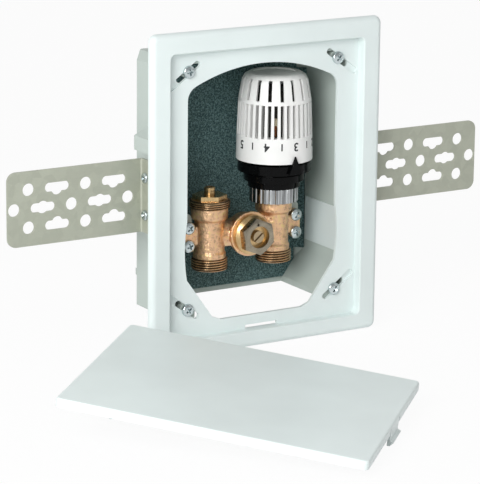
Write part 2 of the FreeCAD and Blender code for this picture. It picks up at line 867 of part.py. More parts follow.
def front_frame():
    body = new_body("front_frame")
    half_w = S.frame_width / 2
    low = frame_middle - S.frame_height / 2
    high = frame_middle + S.frame_height / 2
    recess_half = recess_width / 2
    recess_high = recess_middle + recess_height / 2
    border = pad(
        body, draw_rectangle(new_sketch(body, "XZ_Plane", frame_wall_line), -half_w, half_w, low, high),
        frame_crest - frame_wall_line)
    rounded = round_edges(body, border, S.frame_corner, lambda edge: is_along(edge, FRONT))
    rounded = round_edges(
        body, rounded, S.frame_outer_round, lambda edge: lies_at(edge, "Y", -frame_crest))

    # The border is a hollow shell; the pan with the recess stands behind it.
    rim_half = half_w - S.frame_skin
    rim = new_sketch(body, "XZ_Plane", frame_wall_line)
    draw_rectangle(rim, -rim_half, rim_half, low + S.frame_skin, high - S.frame_skin)
    pocket(body, rim, S.frame_skin, reverse=True)
    wall_half = recess_half + S.frame_skin
    pan = new_sketch(body, "XZ_Plane", pan_back)
    draw_rectangle(pan, -wall_half, wall_half, recess_low - S.frame_skin, recess_high + S.frame_skin)
    pad(body, pan, frame_crest - pan_back - S.frame_skin)
    recess = new_sketch(body, "XZ_Plane", frame_crest)
    draw_rectangle(recess, -recess_half, recess_half, recess_low, recess_high)
    sunk = pocket(body, recess, frame_crest - frame_floor)

    def on_recess_rim(edge):
        at_crest = lies_at(edge, "Y", -frame_crest)
        middle = middle_of(edge)
        return at_crest and abs(middle.x) < recess_half.value + 1e-3 and middle.z < recess_high.value + 1e-3

    def in_recess_corner(edge):
        middle = middle_of(edge)
        return is_along(edge, FRONT) and abs(abs(middle.x) - recess_half.value) < 1e-3

    rounded = round_edges(body, sunk, S.recess_corner, in_recess_corner)
    round_edges(body, rounded, S.frame_inner_round, on_recess_rim)

    opening = new_sketch(body, "XZ_Plane", frame_floor)
    draw_opening(opening)
    pocket(body, opening, S.frame_skin)
    slots = new_sketch(body, "XZ_Plane", frame_floor)
    for x in SIDES:
        for z in SIDES:
            draw_turning_slot(slots, x, z, S.slot_travel / 2, S.frame_screw_radius + S.slot_play)
    pocket(body, slots, S.frame_skin)
    grooves = new_sketch(body, "XZ_Plane", frame_floor)
    for x in SIDES:
        for z in SIDES:
            draw_turning_slot(grooves, x, z, S.groove_reach, S.groove_radius)
    pocket(body, grooves, S.groove_depth)
    tab = new_sketch(body, "XZ_Plane", frame_floor)
    draw_rectangle(tab, -S.tab_slot_half, S.tab_slot_half, recess_low, recess_low + S.tab_slot_width)
    pocket(body, tab, S.frame_skin)
    return body


def draw_opening(sketch):
    """The window: a shallow arch, round shoulders, sides with a slight belly and bevelled lower corners."""
    half = S.opening_half
    bulge_chord = S.opening_bulge_top - S.opening_bulge_end
    bulge_radius = (bulge_chord * bulge_chord / 4 + S.opening_bulge * S.opening_bulge) / (S.opening_bulge * 2)
    corner_x = half - S.opening_corner
    arch_level = S.opening_apex - S.opening_arch_radius
    inner_arch = S.opening_arch_radius - S.opening_corner
    corner_rise = root(inner_arch * inner_arch - corner_x * corner_x)
    shoulder = arch_level + corner_rise
    arch_half = corner_x * S.opening_arch_radius / inner_arch
    arch_foot = arch_level + corner_rise * S.opening_arch_radius / inner_arch
    return draw_outline(sketch, [
        (-S.opening_bottom_half, S.opening_bottom), (S.opening_bottom_half, S.opening_bottom),
        (S.opening_chamfer_half, S.opening_chamfer_low),
        (half, S.opening_bulge_end, bulge_radius, -1), (half, S.opening_bulge_top),
        (half, shoulder, S.opening_corner, -1), (arch_half, arch_foot, S.opening_arch_radius, -1),
        (-arch_half, arch_foot, S.opening_corner, -1), (-half, shoulder),
        (-half, S.opening_bulge_top, bulge_radius, -1),
        (-half, S.opening_bulge_end), (-S.opening_chamfer_half, S.opening_chamfer_low)])


def draw_turning_slot(sketch, side_x, side_z, outer_reach, radius):
    """A slot along the screw circle's tangent, so that the frame can be set level."""
    circle = math.hypot(S.screw_x.value, S.screw_z.value)
    across = (S.screw_x.value / circle * side_x, S.screw_z.value / circle * side_z)
    along = (-across[1], across[0])
    outer_end = -side_x * side_z
    corners = []
    for end, edge in ((-1, -1), (1, -1), (1, 1), (-1, 1)):
        reach = outer_reach if end == outer_end else S.slot_travel / 2
        corner = (
            S.screw_x * side_x + reach * (along[0] * end) - radius * (across[0] * edge),
            S.screw_z * side_z + reach * (along[1] * end) - radius * (across[1] * edge))
        corners.append(corner)
    bulge = radius * FLAT_END
    return draw_outline(sketch, [
        corners[3], (*corners[2], bulge, 1), corners[1], (*corners[0], bulge, 1)])


def frame_screws():
    screws = []
    for side_x in SIDES:
        for side_z in SIDES:
            screws.append(pan_screw(
                S.frame_screw_radius, S.frame_screw_length, S.frame_screw_head, S.frame_screw_rise,
                S.screw_x * side_x, -frame_floor - S.touch_gap, S.screw_z * side_z, FRONT))
    return grouped("frame_screws", screws)


# Cover plate


def cover_plate():
    """The cover lies on its tongue, its hook tab and one stud. Its face is up and its top end to the left."""
    body = new_body("cover_plate")
    half_w = recess_width / 2 - S.cover_gap
    half_l = recess_height / 2 - S.cover_gap
    face = new_sketch(body, "XY_Plane")
    plate = pad(body, draw_rectangle(face, -half_w, half_w, -half_l, half_l), S.cover_rim, reverse=True)
    rounded = round_edges(body, plate, S.cover_corner, lambda edge: is_along(edge, UP))
    round_edges(body, rounded, S.cover_round, lambda edge: lies_at(edge, "Z", size(0)))
    hollow = new_sketch(body, "XY_Plane", -S.cover_rim)
    draw_rectangle(
        hollow, S.cover_skin - half_w, half_w - S.cover_skin, S.cover_skin - half_l, half_l - S.cover_skin)
    pocket(body, hollow, S.cover_rim - S.cover_skin, reverse=True)

    tongue = new_sketch(body, "XY_Plane", -S.cover_skin / 2)
    tongue_y = half_l - S.tongue_inset
    draw_rectangle(tongue, -S.tongue_half, S.tongue_half, tongue_y - S.tongue_thickness, tongue_y)
    pad(body, tongue, S.tongue_reach - S.cover_skin / 2, reverse=True)
    studs = new_sketch(body, "XY_Plane", -S.cover_skin / 2)
    for x in (-S.stud_x, S.stud_x):
        draw_circle(studs, x, S.stud_inset - half_l, S.stud_radius)
    pad(body, studs, S.stud_reach - S.cover_skin / 2, reverse=True)

    # The hook tab is a free tongue of the lower rim, with a notch on each side.
    notches = new_sketch(body, "XY_Plane", -S.cover_rim)
    for side in SIDES:
        near = S.tab_half * side
        far = (S.tab_half + S.tab_thickness) * side
        draw_rectangle(notches, near, far, -half_l - S.cover_skin, S.tab_notch - half_l)
    pocket(body, notches, S.cover_rim - S.cover_skin, reverse=True)
    tab = new_sketch(body, "YZ_Plane")
    draw_outline(tab, [
        (-half_l, -S.cover_skin), (S.tab_thickness - half_l, -S.cover_skin),
        (S.tab_thickness - half_l, -S.tab_reach), (-half_l, -S.tab_reach),
        (-half_l - S.tab_hook, S.tab_hook - S.tab_reach), (-half_l, S.tab_hook_height - S.tab_reach)])
    pad(body, tab, S.tab_half * 2, both=True)
    lying = Rotation(Vector(0, 0, 1), 90 - S.cover_yaw.value)
    tilted = Rotation(Vector(1, 0, 0), S.cover_tilt.value)
    leaning = Rotation(Vector(0, 1, 0), -S.cover_lean.value)
    body.Placement = Placement(Vector(), lying * tilted * leaning)
    place(body, S.cover_x, S.cover_y, S.cover_z)
    return body


# Twin-leg valve


def valve_body():
    legs = [valve_leg(f"leg_{name}", S.leg_x * side) for name, side in (("left", -1), ("right", 1))]
    y = -S.valve_front
    solids = list(legs)
    solids.append(cylinder(S.bridge_radius, S.leg_x * 2, -S.leg_x, y, S.bridge_level, RIGHT))
    solids.append(cylinder(S.port_radius, S.port_face - S.valve_front, 0, y, S.bridge_level, FRONT))
    flange_depth = S.port_face - S.port_flange_back
    solids.append(cylinder(
        S.port_flange_radius, flange_depth, 0, -S.port_flange_back, S.bridge_level, FRONT))
    bores = [
        cylinder(S.bridge_bore, S.leg_x * 2, -S.leg_x, y, S.bridge_level, RIGHT),
        cylinder(S.port_bore, S.port_face - S.valve_front, 0, y, S.bridge_level, FRONT),
        cylinder(
            S.insert_bore, S.port_thread_depth, 0, S.port_thread_depth - S.port_face, S.bridge_level, FRONT),
    ]
    for side in SIDES:
        x = S.leg_x * side
        solids.append(ear(side))
        bores.append(cylinder(S.pipe_bore, S.seat_level - S.seat_depth - S.spigot_end, x, y, S.spigot_end))
        bores.append(cylinder(S.seat_bore, S.seat_depth, x, y, S.seat_level - S.seat_depth))
        bores.append(cylinder(S.chamber_bore, S.insert_shelf - S.seat_level, x, y, S.seat_level))
        bores.append(cylinder(S.insert_bore, S.top_thread_end - S.insert_shelf, x, y, S.insert_shelf))
        for z in (S.ear_upper, S.ear_lower):
            bores.append(cylinder(
                S.ear_screw_radius + S.running_gap, S.ear_thickness, S.ear_x * side, -ear_back, z, FRONT))
    return cut("valve_body", fused("casting", solids), fused("bores", bores))


def valve_leg(label, x):
    spigot_top = S.spigot_end + S.spigot_length
    neck_top = spigot_top + S.neck_length
    return turned(label, [
        (0, S.spigot_end), (S.spigot_radius - S.spigot_chamfer, S.spigot_end),
        (S.spigot_radius, S.spigot_end + S.spigot_chamfer),
        (S.spigot_radius, spigot_top - S.spigot_chamfer),
        (S.neck_radius, spigot_top), (S.neck_radius, neck_top - S.spigot_chamfer),
        (S.barrel_radius, neck_top),
        (S.barrel_radius, S.bell_base), (S.bell_radius, S.bell_base + S.bell_flare),
        (S.bell_radius, S.top_thread_base), (S.top_thread_radius, S.top_thread_base + S.spigot_chamfer),
        (S.top_thread_radius, S.top_thread_end - S.spigot_chamfer),
        (S.top_thread_radius - S.spigot_chamfer, S.top_thread_end), (0, S.top_thread_end)],
        x, -S.valve_front, 0)


def ear(side):
    """A cast ear beside a leg, with two screw holes."""
    x = S.ear_x * side
    upper = cylinder(S.ear_radius, S.ear_thickness, x, -ear_back, S.ear_upper, FRONT)
    lower = cylinder(S.ear_radius, S.ear_thickness, x, -ear_back, S.ear_lower, FRONT)
    height = S.ear_upper - S.ear_lower
    least_x = S.leg_x if side > 0 else -S.ear_x - S.ear_radius
    web = block(S.ear_x + S.ear_radius - S.leg_x, S.ear_thickness, height, least_x, -S.ear_front, S.ear_lower)
    return fused("ear", [upper, lower, web])


def ear_screws():
    screws = []
    for x in (-S.ear_x, S.ear_x):
        for z in (S.ear_upper, S.ear_lower):
            screws.append(pan_screw(
                S.ear_screw_radius, S.ear_screw_length, S.ear_screw_head, S.ear_screw_rise,
                x, -S.ear_front, z, FRONT))
    return grouped("ear_screws", screws)


# Shut-off insert


def shutoff_bonnet():
    body = turned("shutoff_bonnet", [
        (S.shut_spindle_radius + S.fit_gap, S.insert_shelf), (insert_fit_radius, S.insert_shelf),
        (insert_fit_radius, S.top_thread_end), (S.shut_spindle_radius + S.fit_gap, S.top_thread_end)],
        -S.leg_x, -S.valve_front, turn=S.shut_hex_turn)
    sketch = new_sketch(body, "XY_Plane", S.top_thread_end)
    draw_outline(sketch, hexagon(S.shut_hex_flats))
    draw_circle(sketch, 0, 0, S.shut_spindle_radius + S.fit_gap)
    pad(body, sketch, S.shut_hex_top - S.top_thread_end)
    return body


def shutoff_spindle():
    chamfer = S.shut_groove_depth
    groove = S.shut_spindle_radius - S.shut_groove_depth
    body = turned("shutoff_spindle", [
        (0, S.shut_screw_end), (S.shut_screw_radius, S.shut_screw_end),
        (S.shut_screw_radius, S.shut_spindle_foot),
        (S.shut_spindle_radius, S.shut_spindle_foot),
        (S.shut_spindle_radius, S.shut_groove_level - chamfer),
        (groove, S.shut_groove_level - chamfer), (groove, S.shut_groove_level),
        (S.shut_spindle_radius, S.shut_groove_level), (S.shut_spindle_radius, S.shut_spindle_top - chamfer),
        (groove, S.shut_spindle_top), (0, S.shut_spindle_top)],
        -S.leg_x, -S.valve_front)
    socket = new_sketch(body, "XY_Plane", S.shut_spindle_top)
    draw_outline(socket, hexagon(S.shut_socket_flats))
    pocket(body, socket, S.shut_socket_depth)
    return body


def shutoff_cone():
    bore = S.shut_screw_radius + S.running_gap
    bore_end = S.cone_base
    return turned("shutoff_cone", [
        (0, S.cone_tip), (S.cone_tip_radius, S.cone_tip), (S.cone_radius, S.cone_base),
        (S.cone_radius, S.cone_shoulder), (S.cone_neck_radius, S.cone_shoulder),
        (S.cone_neck_radius, S.cone_top),
        (bore, S.cone_top), (bore, bore_end), (0, bore_end)],
        -S.leg_x, -S.valve_front)


# Vent plug


def vent_plug():
    collar_end = S.plug_collar_rise
    cone_end = collar_end + S.plug_cone_rise
    face = S.plug_face - S.port_face
    cup_floor = face - S.plug_cup_depth
    bore = S.vent_shank_radius + S.fit_gap
    half_flats = S.plug_hex_flats / 2
    body = turned("plug_stock", [
        (bore, -S.plug_shank_depth), (insert_fit_radius, -S.plug_shank_depth), (insert_fit_radius, 0),
        (S.plug_collar_radius, 0), (S.plug_collar_radius, collar_end), (half_flats, cone_end),
        (half_flats - S.spigot_chamfer, cone_end), (bore, cone_end)],
        0, -S.port_face, S.bridge_level, facing_front=True, turn=S.plug_turn)
    sketch = new_sketch(body, "XY_Plane", cone_end)
    draw_outline(sketch, hexagon(S.plug_hex_flats))
    draw_circle(sketch, 0, 0, bore)
    pad(body, sketch, face - cone_end)
    cup = new_sketch(body, "XY_Plane", face)
    draw_circle(cup, 0, 0, S.plug_cup_radius)
    pocket(body, cup, face - cup_floor)
    outlet = new_sketch(body, "XY_Plane", face)
    draw_circle(outlet, S.plug_outlet_offset, 0, S.plug_outlet_radius)
    pocket(body, outlet, S.plug_cup_depth)

    # The hexagon's corners are turned down in front.
    face_radius = half_flats - S.plug_face_cut
    corner_radius = face_radius + S.plug_hex_bevel * 2
    envelope = turned("plug_envelope", [
        (0, -S.plug_shank_depth), (S.port_flange_radius, -S.plug_shank_depth),
        (S.port_flange_radius, collar_end), (corner_radius, collar_end),
        (corner_radius, face - S.plug_hex_bevel),
        (face_radius, face), (0, face)],
        0, -S.port_face, S.bridge_level, facing_front=True)
    return shared("vent_plug", [body, envelope])


def vent_screw():
    seat = S.plug_face - S.port_face - S.plug_cup_depth + S.touch_gap
    body = turned("vent_screw", [
        (0, seat - S.vent_shank_length), (S.vent_shank_radius, seat - S.vent_shank_length),
        (S.vent_shank_radius, seat), (S.vent_head_radius, seat),
        (S.vent_head_radius, seat + S.vent_head_rise),
        (0, seat + S.vent_head_rise)],
        0, -S.port_face, S.bridge_level, facing_front=True, turn=S.vent_slot_turn)
    slot = new_sketch(body, "XY_Plane", seat + S.vent_head_rise)
    half = S.vent_slot_width / 2
    draw_rectangle(slot, -S.vent_head_radius, S.vent_head_radius, -half, half)
    pocket(body, slot, S.vent_slot_depth)
    return body


# Regulating insert


def insert_bonnet():
    bore = S.pin_radius + S.fit_gap
    gland_seat = S.bonnet_chamber_radius
    body = turned("insert_bonnet", [
        (bore, S.insert_shelf), (insert_fit_radius, S.insert_shelf), (insert_fit_radius, S.top_thread_end),
        (gland_seat, S.top_thread_end), (gland_seat, S.bonnet_chamber_floor),
        (bore, S.bonnet_chamber_floor)],
        S.leg_x, -S.valve_front)
    sketch = new_sketch(body, "XY_Plane", S.top_thread_end)
    draw_outline(sketch, hexagon(S.bonnet_hex_flats))
    draw_circle(sketch, 0, 0, gland_seat)
    pad(body, sketch, S.bonnet_top - S.top_thread_end)
    return body


def insert_gland():
    bore = S.pin_radius + S.fit_gap
    radius = S.bonnet_chamber_radius - S.fit_gap
    return turned("insert_gland", [
        (bore, S.gland_base), (radius, S.gland_base), (radius, S.gland_top), (bore, S.gland_top)],
        S.leg_x, -S.valve_front)


def insert_pin():
    collar_top = S.pin_collar_base + S.pin_collar_height
    plate_top = S.pin_foot + S.pin_plate_height
    return turned("insert_pin", [
        (0, S.pin_foot), (S.pin_plate_radius, S.pin_foot), (S.pin_plate_radius, plate_top),
        (S.pin_radius, plate_top),
        (S.pin_radius, S.pin_collar_base), (S.pin_collar_radius, S.pin_collar_base),
        (S.pin_collar_radius, collar_top), (S.pin_radius, collar_top), (S.pin_radius, S.pin_top),
        (0, S.pin_top)],
        S.leg_x, -S.valve_front)


def valve_disc():
    return turned("valve_disc", [
        (0, S.pin_foot - S.disc_height), (S.disc_radius - S.spigot_chamfer, S.pin_foot - S.disc_height),
        (S.disc_radius, S.pin_foot - S.disc_height + S.spigot_chamfer), (S.disc_radius, S.pin_foot),
        (0, S.pin_foot)],
        S.leg_x, -S.valve_front)


def coil_spring(label, radius, wire, low, high, turns, x, y):
    """A wire coil that stands between two levels."""
    height = high - low - wire * 2
    helix = document.addObject("Part::Helix", f"{label}_path")
    bind(helix, "Radius", radius)
    bind(helix, "Height", height)
    bind(helix, "Pitch", height / turns)
    section = document.addObject("Part::RegularPolygon", f"{label}_wire")
    section.Polygon = WIRE_SIDES
    bind(section, "Circumradius", wire)
    section.Placement = Placement(Vector(), Rotation(Vector(1, 0, 0), 90))
    place(section, radius)
    sweep = document.addObject("Part::Sweep", label)
    sweep.Label = label
    sweep.Sections = [section]
    document.recompute()
    sweep.Spine = (helix, [f"Edge{number + 1}" for number in range(len(helix.Shape.Edges))])
    sweep.Solid = True
    sweep.Frenet = True
    place(sweep, x, y, low + wire)
    return sweep


def return_spring():
    return coil_spring(
        "return_spring", S.spring_radius, S.spring_wire, S.bonnet_chamber_floor, S.pin_collar_base,
        S.spring_turns, S.leg_x, -S.valve_front)


# Regulator head


def knurled_nut():
    body = turned("knurled_nut", [
        (S.top_thread_radius + S.touch_gap, S.nut_base), (S.nut_radius, S.nut_base),
        (S.nut_radius, S.nut_top),
        (S.nut_lip_radius, S.nut_top), (S.nut_lip_radius, S.nut_top - S.nut_lip),
        (S.top_thread_radius + S.touch_gap, S.nut_top - S.nut_lip)],
        S.leg_x, -S.valve_front)
    sketch = new_sketch(body, "XY_Plane", S.nut_base)
    draw_circle(sketch, S.nut_radius + S.nut_flute_radius / 2, 0, S.nut_flute_radius)
    flute = pocket(body, sketch, S.nut_top - S.nut_base, reverse=True)
    ring_pattern(body, flute, NUT_FLUTES)
    return body


def head_base():
    lip_base = S.nut_top - S.nut_lip
    flange_top = lip_base - S.touch_gap
    flange_base = flange_top - S.base_flange_height
    stem = S.nut_lip_radius - S.touch_gap
    body = turned("head_base", [
        (S.base_bore, flange_base), (S.base_flange_radius, flange_base), (S.base_flange_radius, flange_top),
        (stem, flange_top), (stem, S.base_neck_base), (S.base_neck_radius, S.base_neck_base),
        (S.base_neck_radius, S.base_ring_base), (S.base_ring_radius, S.base_ring_base),
        (S.base_ring_radius, S.base_ring_top), (S.base_waist_radius, S.base_ring_top),
        (S.base_waist_radius, S.base_skirt_base), (S.base_skirt_radius, S.base_skirt_base),
        (S.base_skirt_radius, S.base_skirt_top), (S.base_tube_radius, S.base_skirt_top),
        (S.base_tube_radius, S.base_tube_top), (S.base_tube_bore, S.base_tube_top),
        (S.base_tube_bore, S.base_neck_base), (S.base_bore, S.base_neck_base)],
        S.leg_x, -S.valve_front)
    front = S.cap_skirt_radius + S.running_gap
    foot = new_sketch(body, "XZ_Plane", S.base_waist_radius)
    draw_rectangle(foot, -S.pointer_foot_half, S.pointer_foot_half, S.pointer_base, S.base_skirt_top)
    pad(body, foot, front + S.pointer_thickness - S.base_waist_radius)
    pointer = new_sketch(body, "XZ_Plane", front)
    draw_outline(pointer, [
        (-S.pointer_half, S.pointer_base), (S.pointer_half, S.pointer_base), (0, S.pointer_tip)])
    pad(body, pointer, S.pointer_thickness)
    return body


def sensor_carrier():
    """A sleeve on the base's tube, with the plate that carries the sensor and the cap."""
    bore = S.base_tube_radius + S.fit_gap * 2
    plate_top = S.carrier_plate_base + S.carrier_plate_height
    rod_bore = S.rod_radius + S.fit_gap * 2
    rest_top = S.carrier_hub_foot + S.spring_rest_height
    return turned("sensor_carrier", [
        (bore, S.carrier_foot), (S.carrier_radius, S.carrier_foot),
        (S.carrier_radius, S.carrier_plate_base),
        (S.carrier_plate_radius, S.carrier_plate_base), (S.carrier_plate_radius, plate_top), (0, plate_top),
        (0, S.carrier_plate_base), (rod_bore, S.carrier_plate_base), (rod_bore, S.carrier_hub_foot),
        (S.spring_rest_radius, S.carrier_hub_foot), (S.spring_rest_radius, rest_top),
        (S.carrier_hub_radius, rest_top), (S.carrier_hub_radius, S.carrier_plate_base),
        (bore, S.carrier_plate_base)],
        S.leg_x, -S.valve_front)


def sensor_cartridge():
    base = S.carrier_plate_base + S.carrier_plate_height
    top = base + S.sensor_height
    return turned("sensor_cartridge", [
        (0, base), (S.sensor_radius, base),
        (S.sensor_radius, top - S.sensor_round, S.sensor_round * FLAT_END, -1),
        (S.sensor_radius - S.sensor_round, top), (0, top)],
        S.leg_x, -S.valve_front)


def overtravel_spring():
    return coil_spring(
        "overtravel_spring", S.overtravel_radius, S.overtravel_wire,
        S.carrier_hub_foot + S.spring_rest_height, S.carrier_plate_base,
        S.overtravel_turns, S.leg_x, -S.valve_front)


def push_rod():
    collar_top = S.rod_collar_level + S.pin_collar_height
    return turned("push_rod", [
        (0, S.pin_top), (S.rod_radius, S.pin_top), (S.rod_radius, S.rod_collar_level),
        (S.rod_collar_radius, S.rod_collar_level), (S.rod_collar_radius, collar_top),
        (S.rod_radius, collar_top),
        (S.rod_radius, S.rod_top), (0, S.rod_top)],
        S.leg_x, -S.valve_front)


def head_cap():
    wall = S.cap_wall
    ring_base = S.carrier_plate_base + S.carrier_plate_height + S.running_gap
    ring_top = ring_base + S.cap_ring_height
    ring_bore = S.sensor_radius + S.running_gap
    taper = (S.cap_skirt_radius - S.cap_band_radius) / (S.cap_band_top - S.cap_base)
    ring_low = S.cap_skirt_radius - wall - taper * (ring_base - S.cap_base)
    inner_top = S.cap_top - S.cap_disc_height - S.cap_roof
    fin_top = S.cap_slot_top + S.cap_roof
    disc_seat = S.cap_disc_radius + S.fit_gap
    body = turned("head_cap", [
        (S.cap_skirt_radius - wall, S.cap_base), (S.cap_skirt_radius, S.cap_base),
        (S.cap_band_radius, S.cap_band_top),
        (S.cap_waist_radius, S.cap_waist_level), (S.cap_shoulder_radius, S.cap_shoulder_level),
        (S.cap_crown_radius, S.cap_crown_level), (S.cap_top_radius, S.cap_top), (disc_seat, S.cap_top),
        (disc_seat, S.cap_top - S.cap_disc_height),
        (0, S.cap_top - S.cap_disc_height), (0, inner_top), (S.cap_crown_radius - wall, inner_top),
        (S.cap_shoulder_radius - wall, S.cap_shoulder_level),
        (S.cap_waist_radius - wall, fin_top), (S.cap_fin_bore, S.cap_slot_top),
        (S.cap_fin_bore, ring_top), (ring_bore, ring_top), (ring_bore, ring_base), (ring_low, ring_base)],
        S.leg_x, -S.valve_front)
    start = S.cap_shoulder_radius - S.cap_slot_root
    reach = S.cap_skirt_radius - start
    for width, low, high, count in (
            (S.cap_slot_width, S.cap_band_top, S.cap_slot_top, CAP_SLOTS),
            (S.cap_upper_slot_width, S.cap_upper_slot_base, S.cap_upper_slot_top, CAP_UPPER_SLOTS)):
        sketch = new_sketch(body, "XZ_Plane", start)
        draw_rectangle(sketch, -width / 2, width / 2, low, high)
        slot = pocket(body, sketch, reach, reverse=True)
        ring_pattern(body, slot, count)
    return body


def cap_disc():
    seat = S.cap_top - S.cap_disc_height
    face = S.cap_top - S.cap_disc_sink
    return turned("cap_disc", [
        (0, seat), (S.cap_disc_radius, seat), (S.cap_disc_radius, face), (0, face)],
        S.leg_x, -S.valve_front)


SUBPARTS = (
    wall_box, back_insulation, rail_screws, front_frame, frame_screws, cover_plate, valve_body, ear_screws,
    shutoff_bonnet, shutoff_spindle, shutoff_cone, vent_plug, vent_screw, insert_bonnet,
    insert_gland, insert_pin,
    valve_disc, return_spring, knurled_nut, head_base, sensor_carrier, sensor_cartridge, overtravel_spring,
    push_rod, head_cap, cap_disc,
)


def build():
    pieces = [subpart() for subpart in SUBPARTS]
    pieces.append(mounting_rail("mounting_rail_left", -1))
    pieces.append(mounting_rail("mounting_rail_right", 1))
    document.recompute()
    return pieces


def export(pieces):
    for item in document.Objects:
        if "Invalid" in item.State or "Error" in item.State:
            raise RuntimeError(f"{item.Name} did not build: {item.State}")
    os.makedirs("parts", exist_ok=True)
    for piece in pieces:
        shape = piece.Shape
        if shape.isNull() or not shape.isValid():
            raise RuntimeError(f"{piece.Label} has no valid shape")
        shape.exportStep(f"parts/{piece.Label}.step")


export(build())
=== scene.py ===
"""Dresses the flush-mounted valve box: finishes, soft edges, threads, screw heads, scale and studio."""

import math

import bmesh
import bpy
from bpy.props import FloatProperty, FloatVectorProperty, IntProperty, PointerProperty
from mathutils import Matrix, Vector


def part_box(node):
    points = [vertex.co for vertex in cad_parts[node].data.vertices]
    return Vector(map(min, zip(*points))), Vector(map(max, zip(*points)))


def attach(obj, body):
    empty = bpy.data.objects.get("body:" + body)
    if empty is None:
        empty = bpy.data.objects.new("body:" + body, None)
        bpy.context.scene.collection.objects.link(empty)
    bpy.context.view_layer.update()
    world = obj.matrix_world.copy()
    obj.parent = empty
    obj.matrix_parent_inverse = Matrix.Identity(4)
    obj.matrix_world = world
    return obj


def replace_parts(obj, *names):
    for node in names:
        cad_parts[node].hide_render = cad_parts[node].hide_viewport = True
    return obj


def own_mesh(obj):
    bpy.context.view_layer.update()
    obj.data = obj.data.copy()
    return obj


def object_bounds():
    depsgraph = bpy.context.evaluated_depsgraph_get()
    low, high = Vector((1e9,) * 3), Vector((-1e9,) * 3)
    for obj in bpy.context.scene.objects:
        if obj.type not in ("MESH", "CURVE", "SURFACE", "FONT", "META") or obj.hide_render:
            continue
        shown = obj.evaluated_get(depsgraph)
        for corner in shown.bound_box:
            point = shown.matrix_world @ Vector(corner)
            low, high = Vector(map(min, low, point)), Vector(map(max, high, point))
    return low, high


bl_info = {
    "name": "Valve Box Dresser",
    "version": (1, 0, 0),
    "blender": (4, 5, 0),
    "location": "View3D > Sidebar > Valve Box",
    "description": "Gives the valve box its finishes, soft edges, threads, screw heads, scale and studio",
    "category": "Object",
}

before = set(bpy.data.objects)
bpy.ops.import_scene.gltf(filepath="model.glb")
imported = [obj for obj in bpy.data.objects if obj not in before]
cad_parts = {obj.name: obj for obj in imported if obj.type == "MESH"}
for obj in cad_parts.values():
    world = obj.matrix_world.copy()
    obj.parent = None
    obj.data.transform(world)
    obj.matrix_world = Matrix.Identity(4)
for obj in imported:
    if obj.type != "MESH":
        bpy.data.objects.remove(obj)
CAD_LOW, CAD_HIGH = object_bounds()
# Corners nearer than this are one corner, and faces that differ by less than this angle are one face.
WELD = 2e-6
FLAT = math.radians(0.6)
# Edges sharper than this are rounded, in this many steps.
SHARP = math.radians(38.0)
ROUND_STEPS = 2
# Room for rounding errors in a height.
NEAR = 1e-5
# Faces this near to a plane lie on it.
PLANE_NEAR = 0.0003
# Sides of the turned shapes.
HEAD_SIDES = 40
SHANK_SIDES = 24
STEM_SIDES = 32
THREAD_SIDES = 96
# Rings of a thread for each pitch, and the length of its run-out as a share of the pitch.
THREAD_RINGS = 12
RUN_OUT = 0.35
# A thread's root and its flank as shares of half a pitch.
ROOT_FLAT = 0.10
FLANK = 0.72
# Thread faces deeper than this share of its depth are darkened as painted shade in the roots.
ROOT_SHADE_SHARE = 0.50
# The wall of a thread's sleeve under its roots, and how far the casting lies under them.
SLEEVE_WALL = 0.0004
SLEEVE_SEAT = 0.0003
# Corners this near to a thread's crest belong to the plain cylinder under it.
THREAD_ROOT = 0.0009
# Outline of a pan head as shares of its radius and its height.
PAN_HEAD = (
    (0, 0), (0.96, 0), (1, 0.08), (1, 0.42), (0.96, 0.62), (0.86, 0.80), (0.66, 0.93), (0.36, 0.99), (0, 1))
# Length, width and level of a cross recess, as shares of the head's radius and height.
RECESS_FLOOR = (0.55, 0.20, 0.25)
RECESS_MOUTH = (1.35, 0.34, 1.3)
# Corners further out than this share of a screw's radius belong to its head.
HEAD_SHARE = 0.98
# A screw's tip as a share of its shank, and how far the shank reaches into the head.
TIP_SHARE = 0.7
SHANK_TUCK = 0.0002
# The sensor's stem stands behind the slot that looks to the left front.
STEM_BEARING = math.radians(-120.0)
STEM_BEVEL = 0.3
COIL_TURNS = 6
COIL_STEPS = 4
COIL_RIPPLE = 0.18
# The scale's last number, and the one over the pointer at rest.
LAST_NUMBER = 5
REST_NUMBER = 3
# The font's size as a share of its digits' height.
FONT_SHARE = 1.38
# The print is cut into strips this wide, so that it bends round the cap.
INK_STEP = 0.0005
INK_CUTS = 7
# Blender's wave texture multiplies its scale by this.
WAVE_SCALE = 20.0
KEY_PLACE = (-1.0, -0.85, 0.50)
FILL_PLACE = (1.3, -1.2, 0.7)
FLOOR_HALF = 6.0
FLOOR_CELLS = 8
# The floor lies this far under the part.
FLOOR_DROP = 0.0004
# Height of the camera's sensor in millimetres, and how far it sees in metres.
SENSOR_HEIGHT = 36.0
SIGHT = 50.0


def colour(title, note, value):
    """A colour that a user may change."""
    return FloatVectorProperty(
        name=title, description=note, subtype="COLOR", size=3, min=0.0, max=1.0, default=value)


def length(title, note, value):
    """A length in metres that a user may change."""
    return FloatProperty(name=title, description=note, unit="LENGTH", min=0.0, precision=5, default=value)


def offset(title, note, value):
    """A place in metres that a user may change."""
    return FloatProperty(name=title, description=note, unit="LENGTH", precision=5, default=value)


def angle(title, note, degrees):
    """An angle that a user may change."""
    return FloatProperty(name=title, description=note, unit="ROTATION", default=math.radians(degrees))


def share(title, note, value):
    """A share from nothing to all."""
    return FloatProperty(name=title, description=note, subtype="FACTOR", min=0.0, max=1.0, default=value)


